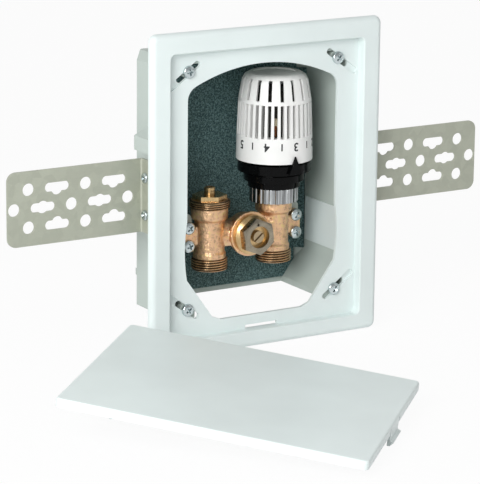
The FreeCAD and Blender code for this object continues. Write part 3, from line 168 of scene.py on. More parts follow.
class ValveBoxFinishes(bpy.types.PropertyGroup):
    """Colours of the box, the valve and the regulator head."""

    frame_white: colour("Frame white", "Moulded white of the frame and the cover", (0.78, 0.86, 0.85))
    box_grey: colour("Box grey", "Moulded light grey of the wall box", (0.52, 0.59, 0.55))
    pad_white: colour("Pad white", "White pads inside the wall box", (0.72, 0.80, 0.79))
    foam_dark: colour("Foam ground", "Dark ground of the back mat", (0.030, 0.068, 0.069))
    foam_light: colour("Foam speck", "Light specks in the back mat", (0.215, 0.345, 0.345))
    sheet_zinc: colour("Rail zinc", "Galvanised skin of the rails", (0.44, 0.46, 0.38))
    cast_gold: colour("Casting", "Blasted gunmetal of the valve", (0.78, 0.53, 0.31))
    brass_gold: colour("Brass", "Turned brass of the plug and the inserts", (0.66, 0.46, 0.23))
    plug_grey: colour("Plug grey", "Worn front of the vent plug", (0.34, 0.30, 0.23))
    screw_zinc: colour("Screw zinc", "Bright zinc of the screws", (0.58, 0.65, 0.66))
    chrome: colour("Chrome", "Plated union nut", (0.60, 0.62, 0.63))
    head_black: colour("Head black", "Gloss black base of the head", (0.002, 0.0022, 0.0024))
    cap_white: colour("Cap white", "Satin white of the slotted cap", (0.88, 0.88, 0.865))
    scale_ink: colour("Scale ink", "Printed numbers and ticks", (0.012, 0.012, 0.014))
    rod_cream: colour("Rod cream", "Moulded cream of the push rod", (0.74, 0.66, 0.46))
    sensor_dark: colour("Sensor dark", "Blackened skin of the sensor", (0.030, 0.028, 0.026))
    stem_copper: colour("Stem copper", "Copper wire of the stem and the spring", (0.62, 0.30, 0.16))
    steel: colour("Spring steel", "Drawn wire of the springs and pins", (0.55, 0.56, 0.57))
    seal_black: colour("Seal rubber", "Moulded rubber of the disc", (0.020, 0.020, 0.022))


class ValveBoxDetails(bpy.types.PropertyGroup):
    """Sizes of the details that are finer than the solid model."""

    frame_edge: length("Frame edge", "Rounding of the frame's and the cover's edges", 0.0006)
    box_edge: length("Box edge", "Rounding of the wall box's edges", 0.0004)
    metal_edge: length("Metal edge", "Broken edge of the turned pieces", 0.00025)
    cast_grid: length("Casting grid", "Fineness of the casting's skin", 0.00055)
    cast_rounds: IntProperty(
        name="Casting rounds", description="How far the casting's hollows are rounded", default=6)
    pipe_pitch: length("Pipe pitch", "Pitch of the pipe threads", 0.001814)
    top_pitch: length("Top pitch", "Pitch of the threads on top of the legs", 0.0015)
    pipe_radius: length("Pipe thread radius", "Crest radius of the pipe threads", 0.0132)
    pipe_run: length("Pipe thread run", "Length of the pipe threads", 0.0088)
    top_radius: length("Top thread radius", "Crest radius of the threads on top of the legs", 0.0149)
    top_run: length("Top thread run", "Length of the threads on top of the legs", 0.0059)
    thread_depth: share("Thread depth", "Depth of a thread as a share of its pitch", 0.70)
    plug_wear: length("Plug wear", "Depth of the vent plug's worn front", 0.0022)
    pad_inset: length("Pad inset", "Distance of the inner pads' faces from the box's middle", 0.0690)
    pad_low: offset("Pad foot", "Height of the inner pads' lower edge", -0.0602)
    pad_high: offset("Pad head", "Height of the inner pads' upper edge", -0.0268)
    stem_orbit: length("Stem orbit", "Distance of the sensor's stem from the head's axis", 0.0184)
    stem_radius: length("Stem radius", "Radius of the sensor's stem", 0.0017)
    stem_rise: length("Stem rise", "Height of the stem's coil over the sensor's foot", 0.0026)
    coil_height: length("Coil height", "Height of the stem's copper coil", 0.0078)
    ferrule_height: length("Ferrule height", "Height of the stem's cream ferrule", 0.0052)
    digit_height: length("Digit height", "Height of the scale's numbers", 0.0062)
    tick_height: length("Tick height", "Height of the scale's ticks", 0.0052)
    tick_width: length("Tick width", "Width of the scale's ticks", 0.0010)
    scale_step: angle("Scale step", "Turn from a number to the next tick", 23.0)
    scale_rise: length("Scale rise", "Height of the numbers' middle over the cap's rim", 0.0127)
    scale_turn: angle("Scale turn", "Turn of the whole scale past the pointer", 2.6)
    band_taper: share("Band taper", "How fast the cap's band narrows upwards", 0.0189)
    ink_rise: length("Ink rise", "Height of the print over the cap", 0.00006)
    digit_bold: length("Digit weight", "How far the numbers' outlines are thickened", 0.00016)


class ValveBoxStudio(bpy.types.PropertyGroup):
    """Camera and light."""

    azimuth: angle("Azimuth", "Turn of the camera round the box", 31.360)
    elevation: angle("Elevation", "Height of the camera over the horizon", 13.935)
    roll: angle("Roll", "Turn of the camera about its view", 0.595)
    shift_right: offset("Shift right", "Place of the box across the view", -0.015891)
    shift_up: offset("Shift up", "Place of the box up the view", 0.054949)
    distance: length("Distance", "Way from the camera to the box", 1.949932)
    lens: FloatProperty(name="Lens", description="Focal length", unit="CAMERA", default=198.70)
    key: FloatProperty(name="Key", description="Power of the large left light", unit="POWER", default=13.6)
    fill: FloatProperty(name="Fill", description="Power of the right light", unit="POWER", default=0.9)
    key_size: length("Key size", "Width of the large left light", 0.8)
    fill_size: length("Fill size", "Width of the right light", 1.0)
    sky: share("Sky", "Strength of the even light all round", 0.43)
    paper_white: share("Paper white", "How far the floor is plain white to sight", 0.94)


class ValveBoxSettings(bpy.types.PropertyGroup):
    """All that a user may change."""

    finishes: PointerProperty(type=ValveBoxFinishes)
    details: PointerProperty(type=ValveBoxDetails)
    studio: PointerProperty(type=ValveBoxStudio)


def settings():
    return bpy.context.scene.valve_box


# Finishes


def new_finish(name):
    """A material with one shader, and its node tree."""
    material = bpy.data.materials.new(name)
    material.use_nodes = True
    tree = material.node_tree
    tree.nodes.clear()
    output = tree.nodes.new("ShaderNodeOutputMaterial")
    shader = tree.nodes.new("ShaderNodeBsdfPrincipled")
    tree.links.new(shader.outputs["BSDF"], output.inputs["Surface"])
    return material, tree, shader


def place_of(tree, move=(0, 0, 0), stretch=(1, 1, 1)):
    """Positions on the piece in metres, moved and stretched."""
    position = tree.nodes.new("ShaderNodeTexCoord")
    mapping = tree.nodes.new("ShaderNodeMapping")
    mapping.inputs["Location"].default_value = move
    mapping.inputs["Scale"].default_value = stretch
    tree.links.new(position.outputs["Object"], mapping.inputs["Vector"])
    return mapping.outputs["Vector"]


def clouds(tree, position, size, detail=3.0, rough=0.55):
    """Cloudy grey whose patches are about the given size."""
    node = tree.nodes.new("ShaderNodeTexNoise")
    node.inputs["Scale"].default_value = 1.0 / size
    node.inputs["Detail"].default_value = detail
    node.inputs["Roughness"].default_value = rough
    tree.links.new(position, node.inputs["Vector"])
    return node.outputs["Fac"]


def cells(tree, position, size):
    """Flat random grey for each cell of about the given size."""
    node = tree.nodes.new("ShaderNodeTexVoronoi")
    node.inputs["Scale"].default_value = 1.0 / size
    tree.links.new(position, node.inputs["Vector"])
    split = tree.nodes.new("ShaderNodeSeparateColor")
    tree.links.new(node.outputs["Color"], split.inputs["Color"])
    return split.outputs["Red"]


def spread(tree, value, stops):
    """Colours or greys laid over a value, as (place, colour)."""
    node = tree.nodes.new("ShaderNodeValToRGB")
    steps = node.color_ramp.elements
    while len(steps) < len(stops):
        steps.new(1.0)
    for step, (place, shade) in zip(steps, stops):
        step.position = place
        step.color = (*shade, 1.0) if hasattr(shade, "__len__") else (shade, shade, shade, 1.0)
    tree.links.new(value, node.inputs["Fac"])
    return node.outputs["Color"]


def feed(tree, node, socket, value, stops):
    """Lays colours or greys over a value and feeds them to one of a node's inputs."""
    tree.links.new(spread(tree, value, stops), node.inputs[socket])


def relief(tree, shader, height, depth, strength=1.0, below=None):
    """Bump of the given depth in metres."""
    node = tree.nodes.new("ShaderNodeBump")
    node.inputs["Distance"].default_value = depth
    node.inputs["Strength"].default_value = strength
    tree.links.new(height, node.inputs["Height"])
    if below is not None:
        tree.links.new(below, node.inputs["Normal"])
    tree.links.new(node.outputs["Normal"], shader.inputs["Normal"])
    return node.outputs["Normal"]


def scaled(shade, factor):
    return tuple(min(1.0, part * factor) for part in shade)


def mixed(first, second, part):
    return tuple(a * (1 - part) + b * part for a, b in zip(first, second))


def moulded(name, shade, rough, grain=0.00035, depth=0.000012, patch=0.05, gloss=0.5):
    """Moulded plastic: faint flow clouds, fine spark texture and uneven gloss."""
    material, tree, shader = new_finish(name)
    position = place_of(tree)
    flow = clouds(tree, position, patch, detail=2.0)
    feed(tree, shader, "Base Color", flow, ((0.3, scaled(shade, 0.965)), (0.7, scaled(shade, 1.02))))
    spark = clouds(tree, position, grain, detail=4.0, rough=0.6)
    feed(tree, shader, "Roughness", spark, ((0.35, rough - 0.04), (0.65, rough + 0.06)))
    shader.inputs["Specular IOR Level"].default_value = gloss
    relief(tree, shader, spark, depth)
    return material


def metal(name, shade, rough, patch=0.012, streak=(1, 1, 1), grain=0.0004, depth=0.00001, dark=0.86):
    """Bare or plated metal: cloudy tarnish, fine grain and uneven polish. With a low dark share and a
    stretch, the tarnish clouds become dark streaks of painted reflection.
    """
    material, tree, shader = new_finish(name)
    shader.inputs["Metallic"].default_value = 1.0
    tarnish = clouds(tree, place_of(tree, stretch=streak), patch, detail=4.0, rough=0.6)
    feed(tree, shader, "Base Color", tarnish, ((0.3, scaled(shade, dark)), (0.68, shade)))
    fine = clouds(tree, place_of(tree, stretch=streak), grain, detail=4.0, rough=0.62)
    feed(tree, shader, "Roughness", fine, ((0.3, rough * 0.8), (0.7, rough * 1.25)))
    relief(tree, shader, fine, depth)
    return material


def foam(name, dark, light):
    """Closed-cell foam pressed from flakes: speckled, rough and pitted."""
    material, tree, shader = new_finish(name)
    position = place_of(tree)
    fleck = clouds(tree, position, 0.0012, rough=0.7)
    feed(tree, shader, "Base Color", fleck, ((0.40, dark), (0.52, mixed(dark, light, 0.35)), (0.66, light)))
    shader.inputs["Roughness"].default_value = 0.82
    shader.inputs["Specular IOR Level"].default_value = 0.3
    relief(tree, shader, fleck, depth=0.0003, strength=0.8)
    return material


def zinc_sheet(name, shade):
    """Galvanised sheet: dull spangle and rolled grain."""
    material, tree, shader = new_finish(name)
    spangle = cells(tree, place_of(tree), 0.006)
    feed(tree, shader, "Base Color", spangle, ((0.0, scaled(shade, 0.94)), (1.0, scaled(shade, 1.04))))
    rolled = clouds(tree, place_of(tree, stretch=(0.12, 1, 1)), 0.0008, detail=4.0, rough=0.65)
    feed(tree, shader, "Roughness", rolled, ((0.3, 0.42), (0.7, 0.58)))
    shader.inputs["Metallic"].default_value = 0.35
    relief(tree, shader, rolled, depth=0.00001)
    return material


def sand_cast(name, shade):
    """Blasted casting: grainy skin, pink and gold clouds, and random dark clouds of painted shade."""
    material, tree, shader = new_finish(name)
    shader.inputs["Metallic"].default_value = 1.0
    position = place_of(tree)
    tint_and_shade_clouds = clouds(tree, position, 0.0030, detail=5.0, rough=0.70)
    pink = (min(1.0, shade[0] * 1.06), shade[1] * 0.98, shade[2] * 1.05)
    gold = (shade[0], shade[1] * 1.10, shade[2] * 0.86)
    # The darkest stop, at under six tenths of the colour, is painted shade laid in random clouds.
    feed(tree, shader, "Base Color", tint_and_shade_clouds, ((0.34, scaled(shade, 0.58)), (0.50, pink), (0.66, gold)))
    sand = clouds(tree, position, 0.0011, detail=5.0, rough=0.68)
    feed(tree, shader, "Roughness", sand, ((0.3, 0.26), (0.7, 0.46)))
    skin = relief(tree, shader, sand, depth=0.0003)
    lumps = clouds(tree, position, 0.0030)
    relief(tree, shader, lumps, depth=0.0009, strength=0.8, below=skin)
    return material


def turned_face(name, shade, rough, centre, spin, ring=0.0004):
    """Turned metal with fine tool rings round an axis."""
    material, tree, shader = new_finish(name)
    shader.inputs["Metallic"].default_value = 1.0
    position = place_of(tree, move=tuple(-part for part in centre))
    rings = tree.nodes.new("ShaderNodeTexWave")
    rings.wave_type = "RINGS"
    rings.rings_direction = spin
    rings.inputs["Scale"].default_value = math.tau / (WAVE_SCALE * ring)
    rings.inputs["Distortion"].default_value = 0.6
    tree.links.new(position, rings.inputs["Vector"])
    tarnish = clouds(tree, position, 0.006, detail=4.0, rough=0.6)
    feed(tree, shader, "Base Color", tarnish, ((0.3, scaled(shade, 0.80)), (0.66, shade)))
    feed(tree, shader, "Roughness", rings.outputs["Fac"], ((0.0, rough * 0.85), (1.0, rough * 1.2)))
    relief(tree, shader, rings.outputs["Fac"], depth=0.000012, strength=0.6)
    return material


def worn_front(name, shade, front, near, far, centre):
    """Turned metal whose far front is worn to another colour, from one depth to the other."""
    material = turned_face(name, shade, rough=0.30, centre=centre, spin="Y")
    tree = material.node_tree
    shader = next(node for node in tree.nodes if node.type == "BSDF_PRINCIPLED")
    split = tree.nodes.new("ShaderNodeSeparateXYZ")
    tree.links.new(place_of(tree), split.inputs["Vector"])
    depth = tree.nodes.new("ShaderNodeMapRange")
    depth.inputs["From Min"].default_value = near
    depth.inputs["From Max"].default_value = far
    tree.links.new(split.outputs["Y"], depth.inputs["Value"])
    blend = tree.nodes.new("ShaderNodeMix")
    blend.data_type = "RGBA"
    tree.links.new(depth.outputs["Result"], blend.inputs["Factor"])
    tree.links.new(shader.inputs["Base Color"].links[0].from_socket, blend.inputs["A"])
    wear = clouds(tree, place_of(tree), 0.004, detail=4.0)
    feed(tree, blend, "B", wear, ((0.3, scaled(front, 0.75)), (0.7, front)))
    tree.links.new(blend.outputs["Result"], shader.inputs["Base Color"])
    return material


def glossy_black(name, shade):
    """Polished black moulding with a clear skin."""
    material, tree, shader = new_finish(name)
    position = place_of(tree)
    haze = clouds(tree, position, 0.004, detail=4.0, rough=0.6)
    feed(tree, shader, "Base Color", haze, ((0.3, scaled(shade, 0.8)), (0.7, scaled(shade, 1.5))))
    feed(tree, shader, "Roughness", haze, ((0.3, 0.08), (0.7, 0.13)))
    shader.inputs["Specular IOR Level"].default_value = 0.09
    relief(tree, shader, clouds(tree, position, 0.0006), depth=0.000006)
    return material


def paint(node, material):
    """Gives a node of the solid model its finish."""
    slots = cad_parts[node].data.materials
    slots.clear()
    slots.append(material)


# Shapes


def linked(name, data):
    """A new object in the scene."""
    thing = bpy.data.objects.new(name, data)
    bpy.context.scene.collection.objects.link(thing)
    return thing


def add_piece(name, mesh, material, body):
    """A new piece that rides on a body and holds the given finish in its one slot."""
    piece = linked(name, mesh)
    mesh.materials.clear()
    mesh.materials.append(material)
    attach(piece, body)
    return piece


def welded(node):
    """A node's shape as an editable mesh whose touching corners are one."""
    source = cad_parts[node].data
    shape = bmesh.new()
    corners = [shape.verts.new(corner.co) for corner in source.vertices]
    for face in source.polygons:
        shape.faces.new([corners[index] for index in face.vertices])
    bmesh.ops.remove_doubles(shape, verts=shape.verts, dist=WELD)
    return shape


def outward(shape):
    """Turns all faces to the outside."""
    bmesh.ops.recalc_face_normals(shape, faces=shape.faces)


def flattened(shape):
    """Joins flat neighbours, so that only real edges are left."""
    bmesh.ops.dissolve_limit(
        shape, angle_limit=FLAT, verts=shape.verts, edges=shape.edges,
        use_dissolve_boundaries=False)
    outward(shape)


def soften(shape, width):
    """Rounds the sharp edges."""
    edges = [edge for edge in shape.edges if len(edge.link_faces) == 2 and edge.calc_face_angle(0.0) > SHARP]
    bmesh.ops.bevel(
        shape, geom=edges, offset=width, offset_type="OFFSET", segments=ROUND_STEPS, profile=0.5,
        affect="EDGES", clamp_overlap=True)


def plain_mesh(shape, name):
    """A mesh of the shape, which is then let go."""
    mesh = bpy.data.meshes.new(name)
    shape.to_mesh(mesh)
    shape.free()
    return mesh


def to_mesh(shape, name, sharp=34.0):
    """A finished mesh, smooth except over edges sharper than the given degrees."""
    for face in shape.faces:
        face.smooth = True
    mesh = plain_mesh(shape, name)
    mesh.set_sharp_from_angle(angle=math.radians(sharp))
    return mesh


def even_normals(piece):
    """Keeps flat faces flat beside rounded edges."""
    weighted = piece.modifiers.new("flat_faces", "WEIGHTED_NORMAL")
    weighted.keep_sharp = True
    weighted.weight = 50


def middle_of(node):
    """The middle of a node's box."""
    low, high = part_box(node)
    return (Vector(low) + Vector(high)) / 2


def softened_node(node, name, width, material, body):
    """A node with rounded edges, in its own place."""
    shape = welded(node)
    flattened(shape)
    soften(shape, width)
    piece = add_piece(name, to_mesh(shape, name), material, body)
    even_normals(piece)
    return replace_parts(piece, node)


def evaluated(piece):
    """Applies a piece's modifiers to its mesh."""
    bpy.context.view_layer.update()
    graph = bpy.context.evaluated_depsgraph_get()
    mesh = bpy.data.meshes.new_from_object(piece.evaluated_get(graph))
    piece.modifiers.clear()
    old = piece.data
    piece.data = mesh
    bpy.data.meshes.remove(old)
    return piece


def around(radius, bearing, height):
    """The place at a radius, a bearing and a height about Z."""
    return Vector((radius * math.cos(bearing), radius * math.sin(bearing), height))


def bridge(shape, low, high):
    """Faces between two rings of corners, where one ring may be a single corner."""
    steps = max(len(low), len(high))
    for step in range(steps):
        after = (step + 1) % steps
        corners = (low[step % len(low)], low[after % len(low)])
        corners += (high[after % len(high)], high[step % len(high)])
        shape.faces.new(dict.fromkeys(corners))


def lathe(shape, profile, sides, spot=Matrix.Identity(4)):
    """Turns a profile of (radius, height) about Z and closes it where it meets the axis."""
    rings = []
    for radius, height in profile:
        count = sides if radius > 0 else 1
        rings.append([
            shape.verts.new(spot @ around(radius, math.tau * step / count, height)) for step in range(count)])
    for low, high in zip(rings, rings[1:]):
        bridge(shape, low, high)


def thread_sleeve(name, x, y, low, high, crest, pitch, depth):
    """The skin of a screw thread round an upright axis, running out at both ends."""
    shape = bmesh.new()
    axis = Vector((x, y, 0))
    bearings = [math.tau * step / THREAD_SIDES for step in range(THREAD_SIDES)]
    levels = round((high - low) / pitch * THREAD_RINGS)
    rings = []
    for level in range(levels + 1):
        height = low + (high - low) * level / levels
        runout = min(1.0, (height - low) / (RUN_OUT * pitch), (high - height) / (RUN_OUT * pitch))
        ring = []
        for bearing in bearings:
            phase = ((height - low) / pitch - bearing / math.tau) % 1.0
            flank = 1.0 - abs(2.0 * phase - 1.0)
            rise = min(1.0, max(0.0, (flank - ROOT_FLAT) / FLANK))
            radius = crest - depth + depth * rise * max(0.0, runout)
            ring.append(shape.verts.new(axis + around(radius, bearing, height)))
        rings.append(ring)
    for lower, upper in zip(rings, rings[1:]):
        bridge(shape, lower, upper)
    inner = crest - depth - SLEEVE_WALL
    for ring, height in ((rings[0], low), (rings[-1], high)):
        rim = [shape.verts.new(axis + around(inner, bearing, height)) for bearing in bearings]
        bridge(shape, ring, rim)
    outward(shape)
    return to_mesh(shape, name, 50.0)


def cross_recess(radius, rise):
    """The two arms of a tapered cross, to cut into a screw head that faces up from Z 0."""
    tools = []
    for turn in (0.0, math.pi / 2):
        shape = bmesh.new()
        bmesh.ops.create_cube(shape, size=1.0)
        for corner in shape.verts:
            reach, width, level = RECESS_FLOOR if corner.co.z < 0 else RECESS_MOUTH
            corner.co = (corner.co.x * radius * reach, corner.co.y * radius * width, rise * level)
        bmesh.ops.rotate(shape, verts=shape.verts, cent=(0, 0, 0), matrix=Matrix.Rotation(turn, 3, "Z"))
        tools.append(linked("recess_arm", plain_mesh(shape, "recess_arm")))
    return tools


def screw_head(radius, rise):
    """The mesh of a pan head with a cross recess, facing up from Z 0."""
    shape = bmesh.new()
    lathe(shape, [(radius * out, rise * up) for out, up in PAN_HEAD], HEAD_SIDES)
    outward(shape)
    head = linked("screw_head", plain_mesh(shape, "screw_head"))
    tools = cross_recess(radius, rise)
    for tool in tools:
        cut = head.modifiers.new("recess", "BOOLEAN")
        cut.operation = "DIFFERENCE"
        cut.solver = "EXACT"
        cut.object = tool
    evaluated(head)
    mesh = head.data
    bpy.data.objects.remove(head)
    for tool in tools:
        bpy.data.objects.remove(tool)
    return mesh


def solids_of(node):
    """The separate solids of a node, as lists of corners' places."""
    shape = welded(node)
    found = []
    seen = set()
    for first in shape.verts:
        if first in seen:
            continue
        seen.add(first)
        solid = [first]
        for corner in solid:
            for edge in corner.link_edges:
                other = edge.other_vert(corner)
                if other not in seen:
                    seen.add(other)
                    solid.append(other)
        found.append([corner.co.copy() for corner in solid])
    shape.free()
    return found


def low_corner(solid):
    """The low corner of a solid's box, to a tenth of a millimetre."""
    return tuple(round(min(corner[axis] for corner in solid), 4) for axis in range(3))


def screw_sizes(solid, facing):
    """A screw's middle, its tip, seat and top along its facing, and the radii of its head and shank."""
    middle = Vector([(min(c[axis] for c in solid) + max(c[axis] for c in solid)) / 2 for axis in range(3)])
    along = [corner.dot(facing) for corner in solid]
    out = [((corner - middle) - facing * (corner - middle).dot(facing)).length for corner in solid]
    radius = max(out)
    seat = min(reach for reach, spoke in zip(along, out) if spoke > HEAD_SHARE * radius)
    tip = min(along)
    shank = max(spoke for reach, spoke in zip(along, out) if reach < tip + NEAR)
    return middle, tip, seat, max(along), radius, shank


def to_front(centre):
    """The way that a screw of the frame or the valve faces."""
    return Vector((0, -1, 0))


def to_side(centre):
    """The way that a screw in the box's side faces."""
    return Vector((math.copysign(1, centre.x), 0, 0))


def cross_head_screws(node, name, out, material, body, turns):
    """Screws with cross recesses in the places of a node's screws; out gives the way that each head faces,
    and turns are the recesses' turns in degrees."""
    shape = bmesh.new()
    for number, solid in enumerate(sorted(solids_of(node), key=low_corner)):
        facing = out(sum(solid, Vector()) / len(solid))
        middle, tip, seat, top, radius, shank = screw_sizes(solid, facing)
        foot = middle + facing * (seat - middle.dot(facing))
        spot = Matrix.Translation(foot) @ facing.to_track_quat("Z", "Y").to_matrix().to_4x4()
        start = len(shape.verts)
        if number == 0:
            head = screw_head(radius, top - seat)
        shape.from_mesh(head)
        shape.verts.ensure_lookup_table()
        bmesh.ops.transform(
            shape, matrix=spot @ Matrix.Rotation(math.radians(turns[number % len(turns)]), 4, "Z"),
            verts=shape.verts[start:])
        deep = tip - seat
        outline = (
            (0, deep), (shank * TIP_SHARE, deep), (shank, deep + shank), (shank, SHANK_TUCK), (0, SHANK_TUCK))
        lathe(shape, outline, SHANK_SIDES, spot)
    outward(shape)
    piece = add_piece(name, to_mesh(shape, name, 32.0), material, body)
    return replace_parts(piece, node)


# Pieces


class VALVEBOX_OT_wall_box(bpy.types.Operator):
    """Dresses the wall box and its back mat"""

    bl_idname = "valvebox.wall_box"
    bl_label = "Wall Box"

    def execute(self, context):
        finishes = settings().finishes
        details = settings().details
        shell = moulded("box_moulding", finishes.box_grey, rough=0.46, gloss=0.4)
        box = softened_node(
            "wall_box", "wall_box_moulding", details.box_edge, shell, "housing")
        box.data.materials.append(moulded("pad_moulding", finishes.pad_white, rough=0.42))
        for face in box.data.polygons:
            middle = face.center
            on_plane = abs(abs(middle.x) - details.pad_inset) < PLANE_NEAR
            if on_plane and details.pad_low < middle.z < details.pad_high:
                face.material_index = 1
        paint("back_insulation", foam("speckled_mat", finishes.foam_dark, finishes.foam_light))
        return {"FINISHED"}


class VALVEBOX_OT_rails(bpy.types.Operator):
    """Dresses the perforated rails and their screws"""

    bl_idname = "valvebox.rails"
    bl_label = "Rails"

    def execute(self, context):
        finishes = settings().finishes
        sheet = zinc_sheet("rail_galvanising", finishes.sheet_zinc)
        for side in ("left", "right"):
            paint(f"mounting_rail_{side}", sheet)
        zinc = metal("rail_screw_zinc", finishes.screw_zinc, rough=0.28)
        cross_head_screws("rail_screws", "rail_screw_set", to_side, zinc, "housing", (12, 40, 71, 25))
        return {"FINISHED"}


class VALVEBOX_OT_front_frame(bpy.types.Operator):
    """Dresses the front frame and its four screws"""

    bl_idname = "valvebox.front_frame"
    bl_label = "Front Frame"

    def execute(self, context):
        finishes = settings().finishes
        edge = settings().details.frame_edge
        white = moulded("frame_moulding", finishes.frame_white, rough=0.40)
        softened_node("front_frame", "front_frame_moulding", edge, white, "front_frame")
        zinc = metal("frame_screw_zinc", finishes.screw_zinc, rough=0.22)
        cross_head_screws(
            "frame_screws", "frame_screw_set", to_front, zinc, "frame_screws", (35, 10, 62, 48))
        return {"FINISHED"}


class VALVEBOX_OT_cover_plate(bpy.types.Operator):
    """Dresses the cover plate that lies in front"""

    bl_idname = "valvebox.cover_plate"
    bl_label = "Cover Plate"

    def execute(self, context):
        finishes = settings().finishes
        edge = settings().details.frame_edge
        white = moulded("cover_moulding", finishes.frame_white, rough=0.38)
        softened_node("cover_plate", "cover_plate_moulding", edge, white, "housing")
        return {"FINISHED"}


class VALVEBOX_OT_casting(bpy.types.Operator):
    """Gives the valve its cast skin, its threads and its ear screws"""

    bl_idname = "valvebox.casting"
    bl_label = "Casting"

    def execute(self, context):
        finishes = settings().finishes
        details = settings().details
        bronze = sand_cast("blasted_gunmetal", finishes.cast_gold)
        low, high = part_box("valve_body")
        axis_y = middle_of("knurled_nut").y
        bands = []
        for leg in ("shutoff_spindle", "knurled_nut"):
            x = middle_of(leg).x
            bands.append((x, details.pipe_radius, low.z, low.z + details.pipe_run, details.pipe_pitch))
            bands.append((x, details.top_radius, high.z - details.top_run, high.z, details.top_pitch))
        shape = welded("valve_body")
        for corner in shape.verts:
            for x, crest, base, top, pitch in bands:
                spoke = Vector((corner.co.x - x, corner.co.y - axis_y))
                inside = base - NEAR < corner.co.z < top + NEAR
                if inside and abs(spoke.length - crest) < THREAD_ROOT:
                    spoke *= (crest - details.thread_depth * pitch - SLEEVE_SEAT) / spoke.length
                    corner.co.x, corner.co.y = x + spoke.x, axis_y + spoke.y
        mesh = to_mesh(shape, "valve_casting")
        piece = add_piece("valve_casting", mesh, bronze, "housing")
        skin = piece.modifiers.new("skin", "REMESH")
        skin.mode = "VOXEL"
        skin.voxel_size = details.cast_grid
        skin.use_smooth_shade = True
        hollows = piece.modifiers.new("hollows", "SMOOTH")
        hollows.factor = 0.5
        hollows.iterations = details.cast_rounds
        evaluated(piece)
        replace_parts(piece, "valve_body")
        worked = metal("thread_gunmetal", finishes.cast_gold, rough=0.28, patch=0.005, dark=0.72)
        # The roots get a much darker colour: painted shade that deepens the grooves between the crests.
        root_shade = metal("thread_root_shade", scaled(finishes.cast_gold, 0.22), rough=0.5, patch=0.005, dark=0.72)
        for number, (x, crest, base, top, pitch) in enumerate(bands):
            name = f"leg_thread_{number + 1}"
            sleeve = thread_sleeve(name, x, axis_y, base, top, crest, pitch, details.thread_depth * pitch)
            piece = add_piece(name, sleeve, worked, "housing")
            piece.data.materials.append(root_shade)
            root_shade_radius = crest - details.thread_depth * pitch * ROOT_SHADE_SHARE
            for face in piece.data.polygons:
                if math.hypot(face.center.x - x, face.center.y - axis_y) < root_shade_radius:
                    face.material_index = 1
        zinc = metal("ear_screw_zinc", finishes.screw_zinc, rough=0.24)
        cross_head_screws("ear_screws", "ear_screw_set", to_front, zinc, "housing", (20, 44, 8, 60))
        return {"FINISHED"}


class VALVEBOX_OT_shutoff(bpy.types.Operator):
    """Dresses the shut-off insert in the left leg"""

    bl_idname = "valvebox.shutoff"
    bl_label = "Shut-off Insert"

    def execute(self, context):
        finishes = settings().finishes
        edge = settings().details.metal_edge
        axis = middle_of("shutoff_spindle")
        brass = turned_face("shutoff_brass", finishes.brass_gold, rough=0.26, centre=axis, spin="Z")
        softened_node("shutoff_bonnet", "shutoff_bonnet_turned", edge, brass, "housing")
        dulled = scaled(finishes.brass_gold, 0.82)
        dull = turned_face("spindle_brass", dulled, rough=0.34, centre=axis, spin="Z")
        softened_node(
            "shutoff_spindle", "shutoff_spindle_turned", edge, dull, "shutoff_spindle")
        paint("shutoff_cone", metal("cone_brass", scaled(finishes.brass_gold, 0.9), rough=0.3))
        return {"FINISHED"}


class VALVEBOX_OT_vent(bpy.types.Operator):
    """Dresses the vent plug and its screw"""

    bl_idname = "valvebox.vent"
    bl_label = "Vent Plug"

    def execute(self, context):
        finishes = settings().finishes
        details = settings().details
        axis = middle_of("vent_plug")
        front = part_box("vent_plug")[0].y
        near, far = front + details.plug_wear * 2, front + details.plug_wear
        gold, grey = finishes.brass_gold, finishes.plug_grey
        plug = worn_front("plug_brass", gold, grey, near, far, axis)
        softened_node("vent_plug", "vent_plug_turned", details.metal_edge, plug, "housing")
        screw = turned_face("vent_screw_brass", mixed(gold, grey, 0.6), rough=0.32, centre=axis, spin="Y")
        softened_node(
            "vent_screw", "vent_screw_turned", details.metal_edge, screw, "vent_screw")
        return {"FINISHED"}


class VALVEBOX_OT_insert(bpy.types.Operator):
    """Dresses the regulating insert in the right leg"""

    bl_idname = "valvebox.insert"
    bl_label = "Regulating Insert"

    def execute(self, context):
        finishes = settings().finishes
        axis = middle_of("knurled_nut")
        brass = turned_face("insert_brass", finishes.brass_gold, rough=0.28, centre=axis, spin="Z")
        for node in ("insert_bonnet", "insert_gland"):
            paint(node, brass)
        steel = metal("pin_steel", finishes.steel, rough=0.22, streak=(1, 1, 0.1))
        paint("insert_pin", steel)
        self.add_spring(steel)
        paint("valve_disc", moulded("disc_rubber", finishes.seal_black, rough=0.7))
        return {"FINISHED"}

    def add_spring(self, steel):
        """The return spring as a smooth piece with a mesh of its own; in the valve it shortens as the pin
        goes down.
        """
        mesh = to_mesh(welded("return_spring"), "return_spring_wound")
        spring = add_piece("return_spring_wound", mesh, steel, "housing")
        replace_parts(spring, "return_spring")
        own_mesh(spring)


